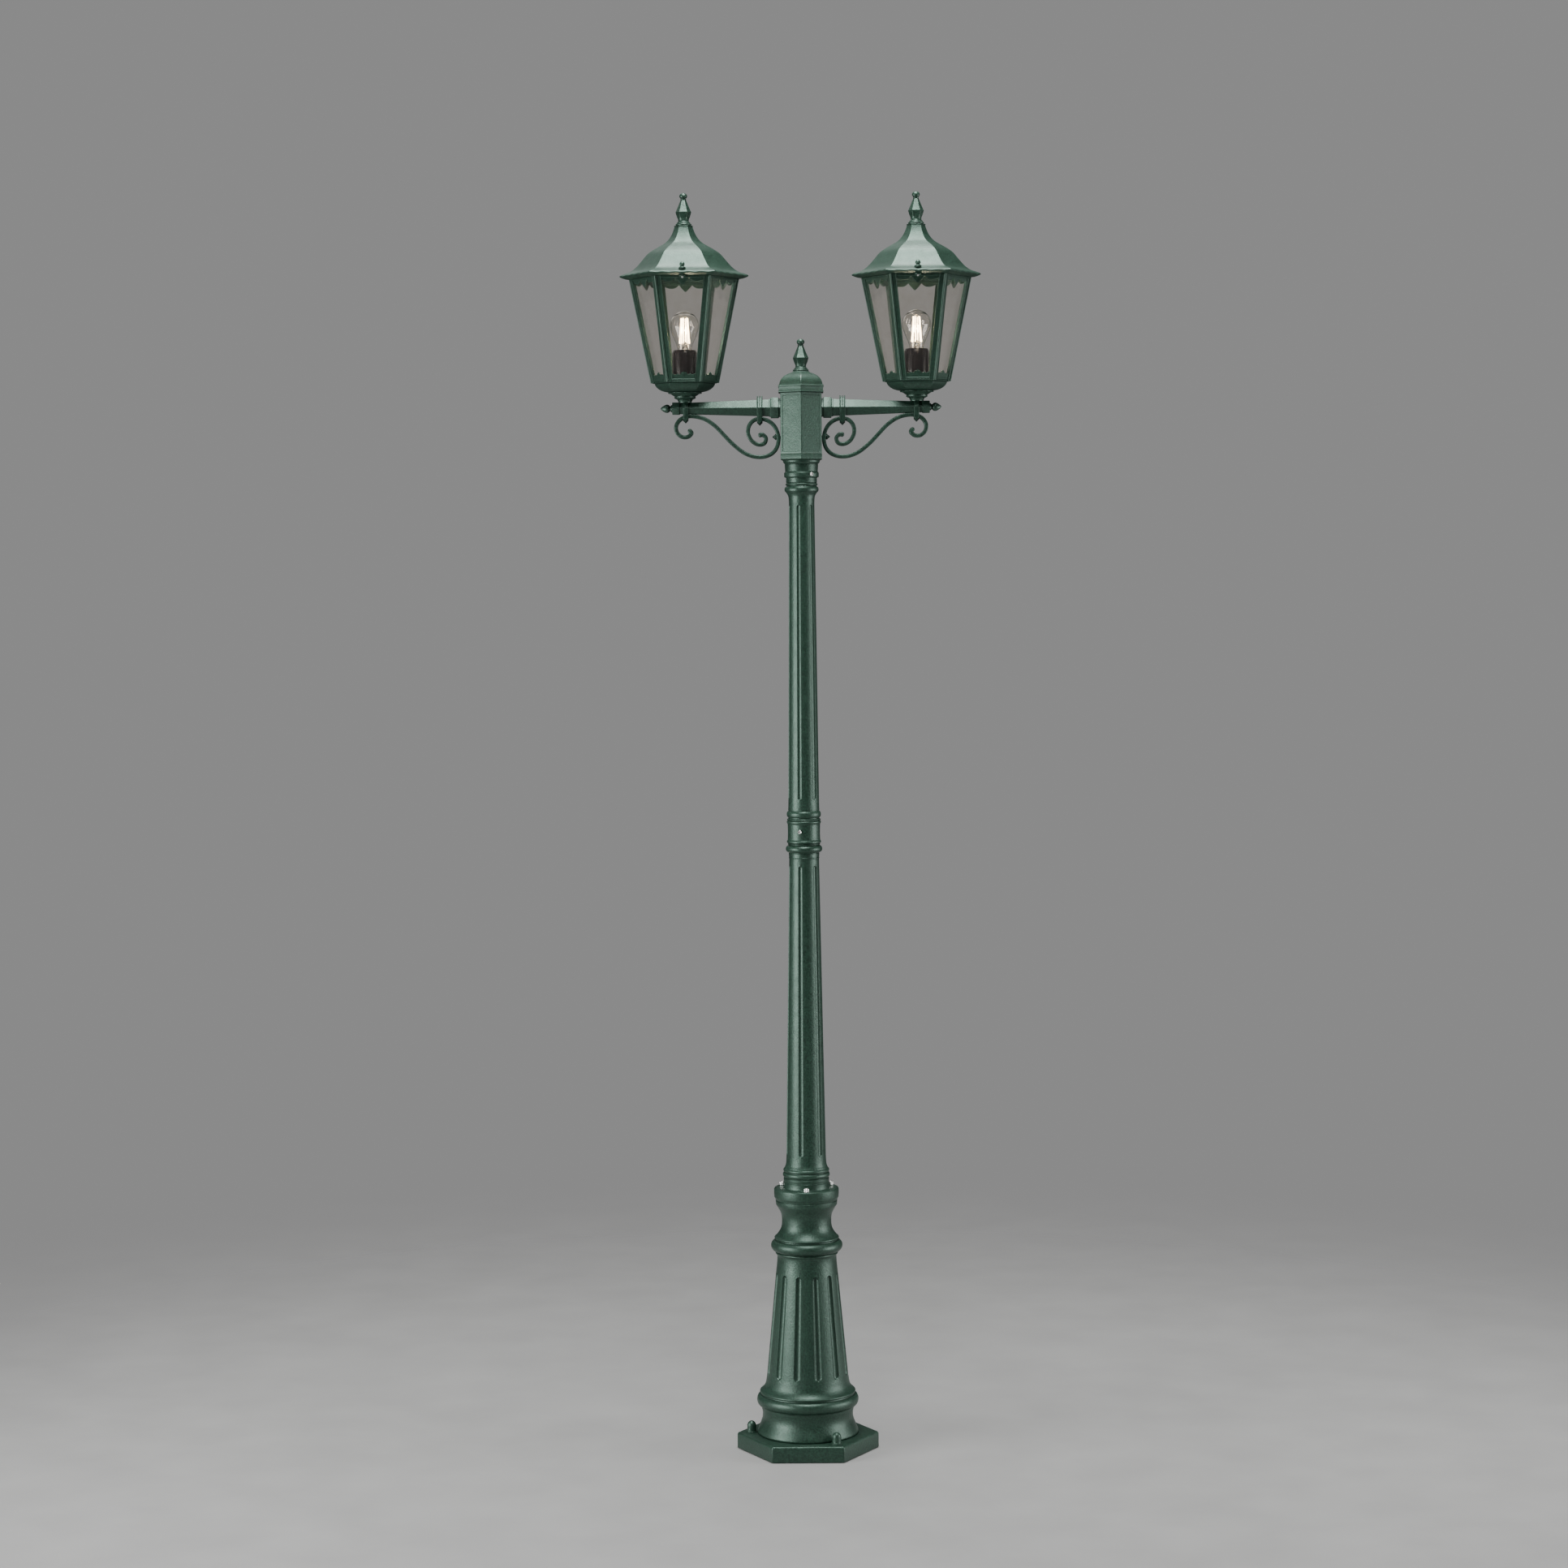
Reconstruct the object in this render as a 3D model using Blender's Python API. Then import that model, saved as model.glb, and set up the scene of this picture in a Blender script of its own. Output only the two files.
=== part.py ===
"""Twin-lantern street lamp post on a fluted shaft and pedestal.

Frame: origin at the centre of the foot plate's underside, +Z up, -Y is the front,
the two lantern arms lie along +X (right) and -X (left).
Lengths are given in millimetres and turned into metres when a mesh is made.
"""

import math

import bmesh
import bpy
from mathutils import Matrix, Vector

MM = 0.001
GAP = 0.3

# Driving dimensions, in millimetres.
LANTERN_REACH = 212.0
FOOT_CIRCUMRADIUS = 132.0
FOOT_THICKNESS = 30.0
CUP_RIM_Z = 489.6
COLLAR_LOW_Z = 1131.0
COLLAR_HIGH_Z = 1171.7
SHAFT_TOP_Z = 1791.7
HEAD_FLOOR_Z = 1834.0
HEAD_TOP_Z = 1955.7
HEAD_APOTHEM = 36.5
ARM_Z = 1929.0
ARM_END_X = 235.5
ARM_ROOT_HALF = 14.85
ARM_END_HALF = 9.5
BOWL_LOW_Z = 1958.3
CAGE_LOW_Z = 1974.3
CAGE_RING_Z = 1977.3
CAGE_TOP_Z = 2164.0
CAGE_LOW_R = 61.0
CAGE_TOP_R = 98.8
CAGE_WALL = 4.5
GLASS_THICKNESS = 3.0
ROOF_LOW_Z = 2164.3
ROOF_LIP_R = 117.6
ROOF_TOP_Z = 2261.0
FINIAL_HEIGHT = 59.0
SCROLL_THICKNESS = 6.0
SCROLL_WIDTH = 16.0
BULB_RADIUS = 27.0
BULB_TOP_Z = 2106.0
BULB_NECK_Z = 2034.3
HOLDER_RADIUS = 22.5

# Fasteners.
STUD_HOLE_R = 2.4
STUD_R = 2.0
ANCHOR_CIRCLE_R = 105.0
ANCHOR_ANGLES = (180.0, 300.0, 60.0)
CUP_SCREW_CIRCLE_R = 52.0
CUP_SCREW_ANGLES = (270.0, 30.0, 150.0)
COLLAR_SCREW_Z = 1152.6
COLLAR_SCREW_ANGLE = -104.5
NECK_SCREW_Z = 1807.0
NECK_SCREW_ANGLE = -56.0
KNOB_CIRCLE_R = 92.0
KNOB_ANGLES = (270.0, 30.0, 150.0)
SCROLL_SCREW_Z = 1876.0

# Fluted sections: how many flutes, the middle of the first, half of a flute's angle.
PEDESTAL_FLUTES = (12, 15.0, 5.8)
SHAFT_FLUTES = (6, 15.0, 8.0)

GREEN = (0.052, 0.095, 0.070)
STEEL = (0.72, 0.72, 0.70)
BLACK = (0.012, 0.012, 0.013)
CLEAR = (0.92, 0.95, 0.93)
WHITE = (0.80, 0.80, 0.78)
BRASS = (0.70, 0.52, 0.25)
WARM = (1.0, 0.80, 0.45)


def clear_scene():
    """Remove every object that is in the file."""
    for item in list(bpy.data.objects):
        bpy.data.objects.remove(item)


def material(name, color, roughness, metallic=0.0, transmission=0.0):
    """A plain Principled BSDF material."""
    result = bpy.data.materials.new(name)
    result.use_nodes = True
    shader = result.node_tree.nodes["Principled BSDF"]
    shader.inputs["Base Color"].default_value = (*color, 1.0)
    shader.inputs["Roughness"].default_value = roughness
    shader.inputs["Metallic"].default_value = metallic
    shader.inputs["Transmission Weight"].default_value = transmission
    return result


def paint(name):
    """The satin green powder coat of one casting."""
    return material(name + "_paint", GREEN, 0.38)


def steel(name):
    """Bright stainless steel for one screw."""
    return material(name + "_steel", STEEL, 0.22, metallic=1.0)


# Section rings: lists of points in millimetres, counter-clockwise seen from above.

def at_angle(radius, angle, z):
    """A point at a polar angle in degrees."""
    turn = math.radians(angle)
    return (radius * math.cos(turn), radius * math.sin(turn), z)


def even_angles(count):
    """Angles in degrees, evenly spaced from +X."""
    return [360.0 * step / count for step in range(count)]


def flute_angles(flutes):
    """Angles round a fluted section: each flute's two edges and valley, and the rib."""
    count, first, half = flutes
    pitch = 360.0 / count
    offsets = (-half, 0.0, half, pitch / 2)
    return [first + pitch * step + offset for step in range(count) for offset in offsets]


def circle(radius, z, angles):
    """A round ring."""
    return [at_angle(radius, angle, z) for angle in angles]


def hexagon(circumradius, z, angles, corner=0.0):
    """A hexagonal ring with one corner at the angle given."""
    apothem = circumradius * math.cos(math.radians(30.0))
    ring = []
    for angle in angles:
        from_flat = (angle - corner) % 60.0 - 30.0
        ring.append(at_angle(apothem / math.cos(math.radians(from_flat)), angle, z))
    return ring


def fluted(radius, z, depth, angles):
    """A round ring whose second point of every four is sunk by the flute's depth."""
    ring = []
    for index, angle in enumerate(angles):
        sunk = depth if index % 4 == 1 else 0.0
        ring.append(at_angle(radius - sunk, angle, z))
    return ring


def bulge(radius, low, high, height, steps=2):
    """Profile points of a half-round moulding that stands out by its height."""
    points = []
    for step in range(steps + 1):
        turn = math.pi * step / steps
        middle = (low + high) / 2 - (high - low) / 2 * math.cos(turn)
        points.append((radius + height * math.sin(turn), middle))
    return points


# Mesh builders.

def add_object(name, points, faces, surface, location=(0.0, 0.0, 0.0)):
    """One closed mesh object from points in millimetres round its own origin."""
    mesh = bpy.data.meshes.new(name)
    mesh.from_pydata([Vector(point) * MM for point in points], [], faces)
    shape = bmesh.new()
    shape.from_mesh(mesh)
    bmesh.ops.remove_doubles(shape, verts=shape.verts, dist=0.000001)
    bmesh.ops.recalc_face_normals(shape, faces=shape.faces)
    shape.to_mesh(mesh)
    shape.free()
    if surface is not None:
        mesh.materials.append(surface)
    mesh.shade_smooth()
    mesh.set_sharp_from_angle(angle=math.radians(35.0))
    item = bpy.data.objects.new(name, mesh)
    item.location = Vector(location) * MM
    bpy.context.scene.collection.objects.link(item)
    return item


def loft(name, rings, surface, closed=False, location=(0.0, 0.0, 0.0)):
    """Skin over rings of equal length; closed joins the last ring to the first."""
    size = len(rings[0])
    points = [point for ring in rings for point in ring]
    faces = []
    spans = len(rings) if closed else len(rings) - 1
    for level in range(spans):
        low = level * size
        high = ((level + 1) % len(rings)) * size
        for side in range(size):
            after = (side + 1) % size
            faces.append((low + side, low + after, high + after, high + side))
    if not closed:
        top = (len(rings) - 1) * size
        faces.append(tuple(reversed(range(size))))
        faces.append(tuple(range(top, top + size)))
    return add_object(name, points, faces, surface, location)


def turned(name, profile, surface, sides=16, closed=False, location=(0.0, 0.0, 0.0)):
    """A round piece about its own Z axis from (radius, z) points."""
    angles = even_angles(sides)
    rings = [circle(radius, z, angles) for radius, z in profile]
    return loft(name, rings, surface, closed, location)


def extruded(name, outline, low, high, surface, place):
    """A prism: outline points (u, v) at two depths, set in space by place(u, v, depth)."""
    size = len(outline)
    points = [place(u, v, low) for u, v in outline]
    points += [place(u, v, high) for u, v in outline]
    faces = [tuple(reversed(range(size))), tuple(range(size, 2 * size))]
    for side in range(size):
        after = (side + 1) % size
        faces.append((side, after, size + after, size + side))
    return add_object(name, points, faces, surface)


def as_tool(item):
    """Hide a cutting or joining shape from the build."""
    item.hide_render = True
    item.display_type = "WIRE"
    return item


def combine(item, tool, operation="DIFFERENCE"):
    """Cut a tool out of an object, or join it on."""
    change = item.modifiers.new(tool.name, "BOOLEAN")
    change.operation = operation
    change.solver = "EXACT"
    change.object = as_tool(tool)


def rod(name, start, end, radius, sides=12):
    """A plain round bar between two points, used as a cutting or joining shape."""
    begin = Vector(start)
    run = Vector(end) - begin
    turn = run.to_track_quat("Z", "Y").to_matrix()
    angles = [angle + 180.0 / sides for angle in even_angles(sides)]
    rings = []
    for z in (0.0, run.length):
        rings.append([begin + turn @ Vector(point) for point in circle(radius, z, angles)])
    return loft(name, rings, None)


def drill(item, label, start, end, radius, sides=12):
    """Cut a round hole between two points."""
    combine(item, rod(item.name + "_" + label, start, end, radius, sides))


def turn_to(item, direction):
    """Point an object's own +Z axis along a direction."""
    item.rotation_euler = Vector(direction).to_track_quat("Z", "Y").to_euler()


def group(name, location):
    """An empty that carries the pieces of one moving body."""
    empty = bpy.data.objects.new(name, None)
    empty.location = Vector(location) * MM
    bpy.context.scene.collection.objects.link(empty)
    return empty


def attach(item, parent):
    """Make an object a child and keep its place in the world."""
    item.parent = parent
    item.matrix_parent_inverse = Matrix.Translation(parent.location).inverted()


def lead(name, route, radius, color):
    """An insulated lead along points in millimetres."""
    curve = bpy.data.curves.new(name, "CURVE")
    curve.dimensions = "3D"
    curve.bevel_depth = radius * MM
    curve.bevel_resolution = 2
    curve.use_fill_caps = True
    line = curve.splines.new("POLY")
    line.points.add(len(route) - 1)
    for knot, point in zip(line.points, route):
        knot.co = (*(Vector(point) * MM), 1.0)
    curve.materials.append(material(name + "_sleeve", color, 0.5))
    item = bpy.data.objects.new(name, curve)
    bpy.context.scene.collection.objects.link(item)


def smooth_path(points, steps):
    """A Catmull-Rom curve through control points, with so many steps between two."""
    padded = [points[0]] + list(points) + [points[-1]]
    path = []
    for index in range(1, len(padded) - 2):
        before, start, end, after = (Vector(padded[index + shift]) for shift in (-1, 0, 1, 2))
        for step in range(steps):
            t = step / steps
            bend = (2 * before - 5 * start + 4 * end - after) * t * t
            twist = (3 * start - before - 3 * end + after) * t * t * t
            path.append((2 * start + (end - before) * t + bend + twist) / 2)
    path.append(Vector(points[-1]))
    return path


# The post.

def make_pedestal():
    """One hollow casting: hexagonal foot plate, fluted cone, neck and cup."""
    angles = flute_angles(PEDESTAL_FLUTES)
    plate = [(FOOT_CIRCUMRADIUS, 0.0), (FOOT_CIRCUMRADIUS, FOOT_THICKNESS - 3.0),
             (FOOT_CIRCUMRADIUS - 2.5, FOOT_THICKNESS)]
    rings = [hexagon(radius, z, angles) for radius, z in plate]
    foot = [(94.0, 30.0), (84.0, 61.0)]
    foot += bulge(87.0, 83.0, 104.0, 7.5)
    foot += [(79.5, 119.0)]
    rings += [circle(radius, z, angles) for radius, z in foot]
    cone = [(75.6, 132.0, 0.0), (74.0, 145.0, 4.0), (58.6, 320.0, 3.5), (57.4, 331.0, 0.0)]
    rings += [fluted(radius, z, depth, angles) for radius, z, depth in cone]
    neck = [(55.0, 351.0)]
    neck += bulge(57.5, 371.5, 392.5, 8.8)
    neck += [(46.0, 415.0), (46.0, 438.0), (55.7, 453.0), (60.0, 470.0), (59.8, CUP_RIM_Z)]
    rings += [circle(radius, z, angles) for radius, z in neck]
    hollow = [(57.7, CUP_RIM_Z), (57.7, 481.3), (28.0, 481.3), (28.0, 444.0), (46.0, 394.0),
              (62.0, 128.0), (62.0, 0.0)]
    rings += [circle(radius, z, angles) for radius, z in hollow]
    pedestal = loft("pedestal", rings, paint("pedestal"), closed=True)
    for index, angle in enumerate(ANCHOR_ANGLES):
        low = at_angle(ANCHOR_CIRCLE_R, angle, -5.0)
        high = at_angle(ANCHOR_CIRCLE_R, angle, FOOT_THICKNESS + 5.0)
        drill(pedestal, "anchor_hole_%d" % index, low, high, 5.5)
    for index, angle in enumerate(CUP_SCREW_ANGLES):
        low = at_angle(CUP_SCREW_CIRCLE_R, angle, 469.0)
        high = at_angle(CUP_SCREW_CIRCLE_R, angle, CUP_RIM_Z)
        drill(pedestal, "cup_hole_%d" % index, low, high, STUD_HOLE_R, sides=8)


def make_anchor_nuts():
    """Domed nuts on the anchor studs that rise through the foot plate."""
    profile = [(0.0, -28.0), (5.0, -28.0), (5.0, GAP), (8.6, GAP), (8.2, 10.0), (5.8, 18.0),
               (0.0, 21.5)]
    for index, angle in enumerate(ANCHOR_ANGLES):
        name = "anchor_cap_nut_%d" % (index + 1)
        place = at_angle(ANCHOR_CIRCLE_R, angle, FOOT_THICKNESS)
        turned(name, profile, paint(name), sides=12, location=place)


def screw(name, place, direction, shank_length, head_r=4.7, head_height=7.0):
    """A stainless cap screw whose head stands on the point given."""
    profile = [(0.0, -shank_length), (STUD_R, -shank_length), (STUD_R, GAP), (head_r, GAP)]
    profile += [(head_r, head_height - 1.5), (head_r - 1.2, head_height), (0.0, head_height)]
    item = turned(name, profile, steel(name), sides=10, location=place)
    turn_to(item, direction)


def make_post_screws():
    """Screws of the cup, the joint collar and the head's neck."""
    for index, angle in enumerate(CUP_SCREW_ANGLES):
        place = at_angle(CUP_SCREW_CIRCLE_R, angle, CUP_RIM_Z)
        screw("pedestal_screw_%d" % (index + 1), place, (0.0, 0.0, 1.0), 18.0)
    radial = Vector(at_angle(1.0, COLLAR_SCREW_ANGLE, 0.0))
    place = radial * 29.9 + Vector((0.0, 0.0, COLLAR_SCREW_Z))
    screw("collar_screw", place, radial, 8.6, head_r=3.6, head_height=3.4)
    radial = Vector(at_angle(1.0, NECK_SCREW_ANGLE, 0.0))
    place = radial * 31.9 + Vector((0.0, 0.0, NECK_SCREW_Z))
    screw("neck_screw", place, radial, 9.2, head_r=3.4, head_height=3.2)


def shaft_rings(profile, angles):
    """Rings from (radius, z, flute depth) points."""
    return [fluted(radius, z, depth, angles) for radius, z, depth in profile]


def plain(points):
    """Profile points without flutes."""
    return [(radius, z, 0.0) for radius, z in points]


def make_lower_shaft():
    """Tapered fluted tube with a flange that the cup screws hold down."""
    angles = flute_angles(SHAFT_FLUTES)
    profile = plain([(57.4, 481.6), (57.4, CUP_RIM_Z), (41.8, CUP_RIM_Z), (41.8, 505.0)])
    profile += plain(bulge(41.0, 508.0, 517.0, 2.4))
    profile += plain([(42.6, 522.0), (38.0, 532.0)])
    profile += [(36.8, 546.0, 0.0), (36.0, 556.0, 2.2), (32.3, 737.0, 2.2), (30.0, 918.0, 2.0)]
    profile += [(27.7, 1080.0, 2.0), (27.6, 1090.0, 0.0), (28.4, 1112.0, 0.0)]
    profile += plain(bulge(28.6, 1114.5, 1127.0, 5.1))
    profile += plain([(30.6, 1130.7), (21.0, 1130.7), (21.0, 1070.0), (26.0, 1060.0)])
    profile += plain([(26.0, 481.6)])
    shaft = loft("lower_shaft", shaft_rings(profile, angles), paint("lower_shaft"), closed=True)
    for index, angle in enumerate(CUP_SCREW_ANGLES):
        low = at_angle(CUP_SCREW_CIRCLE_R, angle, 478.0)
        high = at_angle(CUP_SCREW_CIRCLE_R, angle, 495.0)
        drill(shaft, "flange_hole_%d" % index, low, high, STUD_HOLE_R, sides=8)


def make_joint_collar():
    """Waisted sleeve round the joint of the two shafts."""
    profile = [(31.5, COLLAR_LOW_Z), (31.5, 1134.0), (29.6, 1137.0), (29.6, 1166.0),
               (31.5, 1169.0), (31.5, COLLAR_HIGH_Z), (21.5, COLLAR_HIGH_Z), (21.5, COLLAR_LOW_Z)]
    collar = turned("joint_collar", profile, paint("joint_collar"), closed=True)
    start = at_angle(18.0, COLLAR_SCREW_ANGLE, COLLAR_SCREW_Z)
    end = at_angle(36.0, COLLAR_SCREW_ANGLE, COLLAR_SCREW_Z)
    drill(collar, "screw_hole", start, end, STUD_HOLE_R, sides=8)


def make_upper_shaft():
    """Slimmer fluted tube: a spigot below, a tenon for the head above."""
    angles = flute_angles(SHAFT_FLUTES)
    profile = plain([(20.7, 1080.0), (20.7, 1172.0), (30.4, 1172.0), (30.8, 1174.5)])
    profile += plain([(29.4, 1176.5)])
    profile += plain(bulge(29.0, 1178.0, 1190.0, 2.6))
    profile += [(28.4, 1204.0, 0.0), (28.2, 1218.0, 2.0), (27.2, 1398.0, 2.0)]
    profile += [(24.6, 1577.0, 1.8), (23.5, 1742.0, 1.8), (23.4, 1753.0, 0.0)]
    profile += plain([(24.0, 1764.0), (27.5, 1773.0), (31.2, 1778.0), (31.2, 1783.0)])
    profile += plain([(28.0, 1786.0), (29.6, 1789.0), (29.4, SHAFT_TOP_Z)])
    profile += plain([(22.0, SHAFT_TOP_Z), (22.0, 1826.0), (16.0, 1826.0), (16.0, 1080.0)])
    loft("upper_shaft", shaft_rings(profile, angles), paint("upper_shaft"), closed=True)


# The head, between the two arms.

def make_head_housing():
    """Socket on the shaft's tenon below a hollow hexagonal box."""
    angles = even_angles(12)
    wide = 1.0 / math.cos(math.radians(30.0))
    neck = [(22.9, SHAFT_TOP_Z + GAP), (28.2, SHAFT_TOP_Z + GAP), (28.2, 1801.5)]
    neck += [(31.7, 1802.5), (31.7, 1811.5), (29.8, 1812.5), (29.8, 1826.0), (34.5, 1832.0)]
    rings = [circle(radius, z, angles) for radius, z in neck]
    box = [(37.5, HEAD_FLOOR_Z), (37.5, 1844.0), (HEAD_APOTHEM, 1845.0),
           (HEAD_APOTHEM, HEAD_TOP_Z), (32.5, HEAD_TOP_Z), (32.5, 1838.5)]
    rings += [hexagon(apothem * wide, z, angles, corner=30.0) for apothem, z in box]
    rings.append(circle(22.9, 1838.5, angles))
    head = loft("head_housing", rings, paint("head_housing"), closed=True)
    drill(head, "arm_holes", (-45.0, 0.0, ARM_Z), (45.0, 0.0, ARM_Z), 6.3)
    low = (-45.0, 0.0, SCROLL_SCREW_Z)
    high = (45.0, 0.0, SCROLL_SCREW_Z)
    drill(head, "scroll_holes", low, high, STUD_HOLE_R, sides=8)
    start = at_angle(20.0, NECK_SCREW_ANGLE, NECK_SCREW_Z)
    end = at_angle(36.0, NECK_SCREW_ANGLE, NECK_SCREW_Z)
    drill(head, "neck_hole", start, end, STUD_HOLE_R, sides=8)


def make_head_cap():
    """Hexagonal lid with an eave, a low dome and a rim that drops into the head."""
    angles = [angle + 30.0 for angle in even_angles(6)]
    wide = 1.0 / math.cos(math.radians(30.0))
    low = HEAD_TOP_Z + GAP
    outside = [(32.1, 1948.0), (32.1, low), (40.6, low), (41.5, 1959.0), (41.5, 1968.0),
               (39.4, 1970.0), (36.5, 1979.0), (34.0, 1983.0), (29.0, 1987.0), (18.6, 1992.0),
               (10.0, 1995.4)]
    inside = [(10.0, 1992.0), (18.0, 1988.5), (28.0, 1983.0), (29.5, 1975.0), (29.5, 1948.0)]
    rings = [hexagon(apothem * wide, z, angles, corner=30.0) for apothem, z in outside]
    rings.append(circle(STUD_HOLE_R, 1995.4, angles))
    rings.append(circle(STUD_HOLE_R, 1992.0, angles))
    rings += [hexagon(apothem * wide, z, angles, corner=30.0) for apothem, z in inside]
    loft("head_cap", rings, paint("head_cap"), closed=True)


def make_finial(name, location):
    """Turned ornament with six facets, a ball on top and a stud below."""
    angles = even_angles(12)
    rings = [circle(radius, z, angles) for radius, z in [(STUD_R, -8.0), (STUD_R, GAP)]]
    base = [(15.0, GAP), (15.0, 3.5), (10.0, 6.0), (10.0, 12.0)]
    rings += [circle(radius, z, angles) for radius, z in base]
    facets = [(14.4, 23.5), (6.0, 46.0)]
    rings += [hexagon(radius, z, angles) for radius, z in facets]
    ball = [(7.0, 51.0), (6.0, 56.0), (0.0, FINIAL_HEIGHT)]
    rings += [circle(radius, z, angles) for radius, z in ball]
    return loft(name, rings, paint(name), location=location)


def make_wiring():
    """The inner wiring that both lamps share: riser, terminal block and base connector."""
    low, high, half_x, half_y = 1868.0, 1888.0, 14.0, 8.0
    outline = [(-half_x, low), (half_x, low), (half_x, high), (-half_x, high)]
    surface = material("terminal_block_plastic", WHITE, 0.45)
    extruded("terminal_block", outline, half_y, -half_y, surface, lambda u, v, depth: (u, depth, v))
    lead("riser_cable", [(0.0, 0.0, z) for z in (138.3, 700.0, 1300.0, 1867.7)], 3.5, BLACK)
    profile = [(0.0, 78.0), (7.0, 78.0), (9.0, 84.0), (13.0, 87.0), (13.0, 129.0), (9.0, 132.0),
               (7.0, 138.0), (0.0, 138.0)]
    turned("base_connector", profile, material("base_connector_plastic", BLACK, 0.5), sides=12)


# One side: the arm with its scroll and clamps. The sign is +1 on the right, -1 on the left.

def arm_half_height(x):
    """Half of the arm's height at a distance from the post's axis."""
    share = (x - 57.0) / (ARM_END_X - 57.0)
    return ARM_ROOT_HALF + (ARM_END_HALF - ARM_ROOT_HALF) * share


def along_x(sign, ring, x):
    """A level ring stood up across the arm at a distance along X."""
    return [(sign * x, first, ARM_Z + second) for first, second, _ in ring]


def make_arm(side, sign):
    """Tapered six-sided arm, hollow for the lead, with a spigot into the head."""
    angles = even_angles(12)
    wide = 1.0 / math.cos(math.radians(30.0))
    rings = [along_x(sign, circle(6.0, 0.0, angles), x) for x in (28.0, 37.0)]
    sections = [(37.0, 17.0), (41.0, 17.0), (41.3, 18.5), (55.5, 18.5), (57.0, ARM_ROOT_HALF),
                (ARM_END_X, ARM_END_HALF)]
    for x, half in sections:
        rings.append(along_x(sign, hexagon(half * wide, 0.0, angles), x))
    name = side + "_arm"
    arm = loft(name, rings, paint(name))
    drill(arm, "channel", (sign * 20.0, 0.0, ARM_Z), (sign * 216.0, 0.0, ARM_Z), 4.3)
    reach = sign * LANTERN_REACH
    drill(arm, "outlet", (reach, 0.0, ARM_Z), (reach, 0.0, ARM_Z + 20.0), 3.9)
    drill(arm, "tip_hole", (sign * 222.0, 0.0, ARM_Z), (sign * 240.0, 0.0, ARM_Z), 3.3)


def make_arm_tip(side, sign):
    """Acorn that closes the end of the arm."""
    profile = [(0.0, -11.0), (3.0, -11.0), (3.0, GAP), (6.0, GAP), (5.2, 3.5), (6.4, 7.0)]
    profile += [(7.2, 10.5), (6.2, 14.0), (3.4, 18.5), (0.0, 21.5)]
    name = side + "_arm_tip"
    place = (sign * ARM_END_X, 0.0, ARM_Z)
    item = turned(name, profile, paint(name), sides=12, location=place)
    turn_to(item, (sign, 0.0, 0.0))


# Control points (x, z) of the scroll's middle line, from its inner curl to its outer one.
SCROLL_POINTS = [(77.0, 1878.0), (69.5, 1880.0), (64.0, 1872.5), (69.0, 1865.0),
                 (83.0, 1865.0), (96.0, 1878.0), (94.5, 1896.5), (77.0, 1907.8),
                 (56.5, 1901.0), (42.3, 1881.0), (46.0, 1860.0), (60.0, 1846.0),
                 (78.0, 1841.0), (97.0, 1844.0), (127.0, 1866.0), (157.0, 1897.0),
                 (178.0, 1911.0), (197.0, 1914.3), (213.0, 1912.8), (224.5, 1905.0),
                 (228.0, 1893.0), (221.0, 1881.0), (208.5, 1877.3), (201.0, 1884.5),
                 (207.0, 1890.5)]


def make_scroll(side, sign):
    """Flat bar bent into two scrolls below the arm."""
    path = smooth_path([(sign * x, 0.0, z) for x, z in SCROLL_POINTS], 2)
    across = Vector((0.0, 1.0, 0.0))
    rings = []
    for index, point in enumerate(path):
        before = path[max(index - 1, 0)]
        after = path[min(index + 1, len(path) - 1)]
        normal = (after - before).normalized().cross(across)
        corners = [(1, 1), (-1, 1), (-1, -1), (1, -1)]
        rings.append([point + normal * (u * SCROLL_THICKNESS / 2) + across * (v * SCROLL_WIDTH / 2)
                      for u, v in corners])
    name = side + "_scroll"
    bar = loft(name, rings, paint(name))
    start = (sign * 34.0, 0.0, SCROLL_SCREW_Z)
    end = (sign * 50.0, 0.0, SCROLL_SCREW_Z)
    drill(bar, "screw_hole", start, end, STUD_HOLE_R, sides=8)


def make_scroll_screw(side, sign):
    """Pointed screw that holds the scroll to the head."""
    name = side + "_scroll_screw"
    profile = [(0.0, -15.0), (STUD_R, -15.0), (STUD_R, GAP), (4.6, GAP), (4.6, 2.5), (2.6, 5.0),
               (0.0, 8.0)]
    item = turned(name, profile, paint(name), sides=12, location=(sign * 46.6, 0.0, SCROLL_SCREW_Z))
    turn_to(item, (sign, 0.0, 0.0))


def strap_place(sign):
    """How a strap's outline (y, z) is set in space, with its depth along the arm."""
    def place(y, z, depth):
        return (sign * depth, y, z)
    return place


def make_inner_clamp(side, sign):
    """Closed strap round the arm and the scroll, pointed below."""
    name = side + "_inner_clamp"
    low, high = 70.6, 80.6
    through = 5.0
    half = arm_half_height(low) + GAP
    corner = half / math.cos(math.radians(30.0))
    flat = corner / 2
    bar = SCROLL_WIDTH / 2 + GAP
    right = [(flat, ARM_Z + half), (corner, ARM_Z), (bar + 1.2, 1913.0), (bar, 1903.0)]
    inner = [(-y, z) for y, z in reversed(right)] + right
    edge = [(6.0, 1948.6), (flat + 1.6, ARM_Z + half + 3.4), (corner + 3.4, ARM_Z),
            (bar + 4.2, 1912.0), (bar + 2.6, 1902.6), (3.0, 1900.2)]
    outer = [(-y, z) for y, z in reversed(edge)] + edge
    place = strap_place(sign)
    strap = extruded(name, outer, low, high, paint(name), place)
    window = extruded(name + "_window", inner, low - through, high + through, None, place)
    combine(strap, window)


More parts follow.
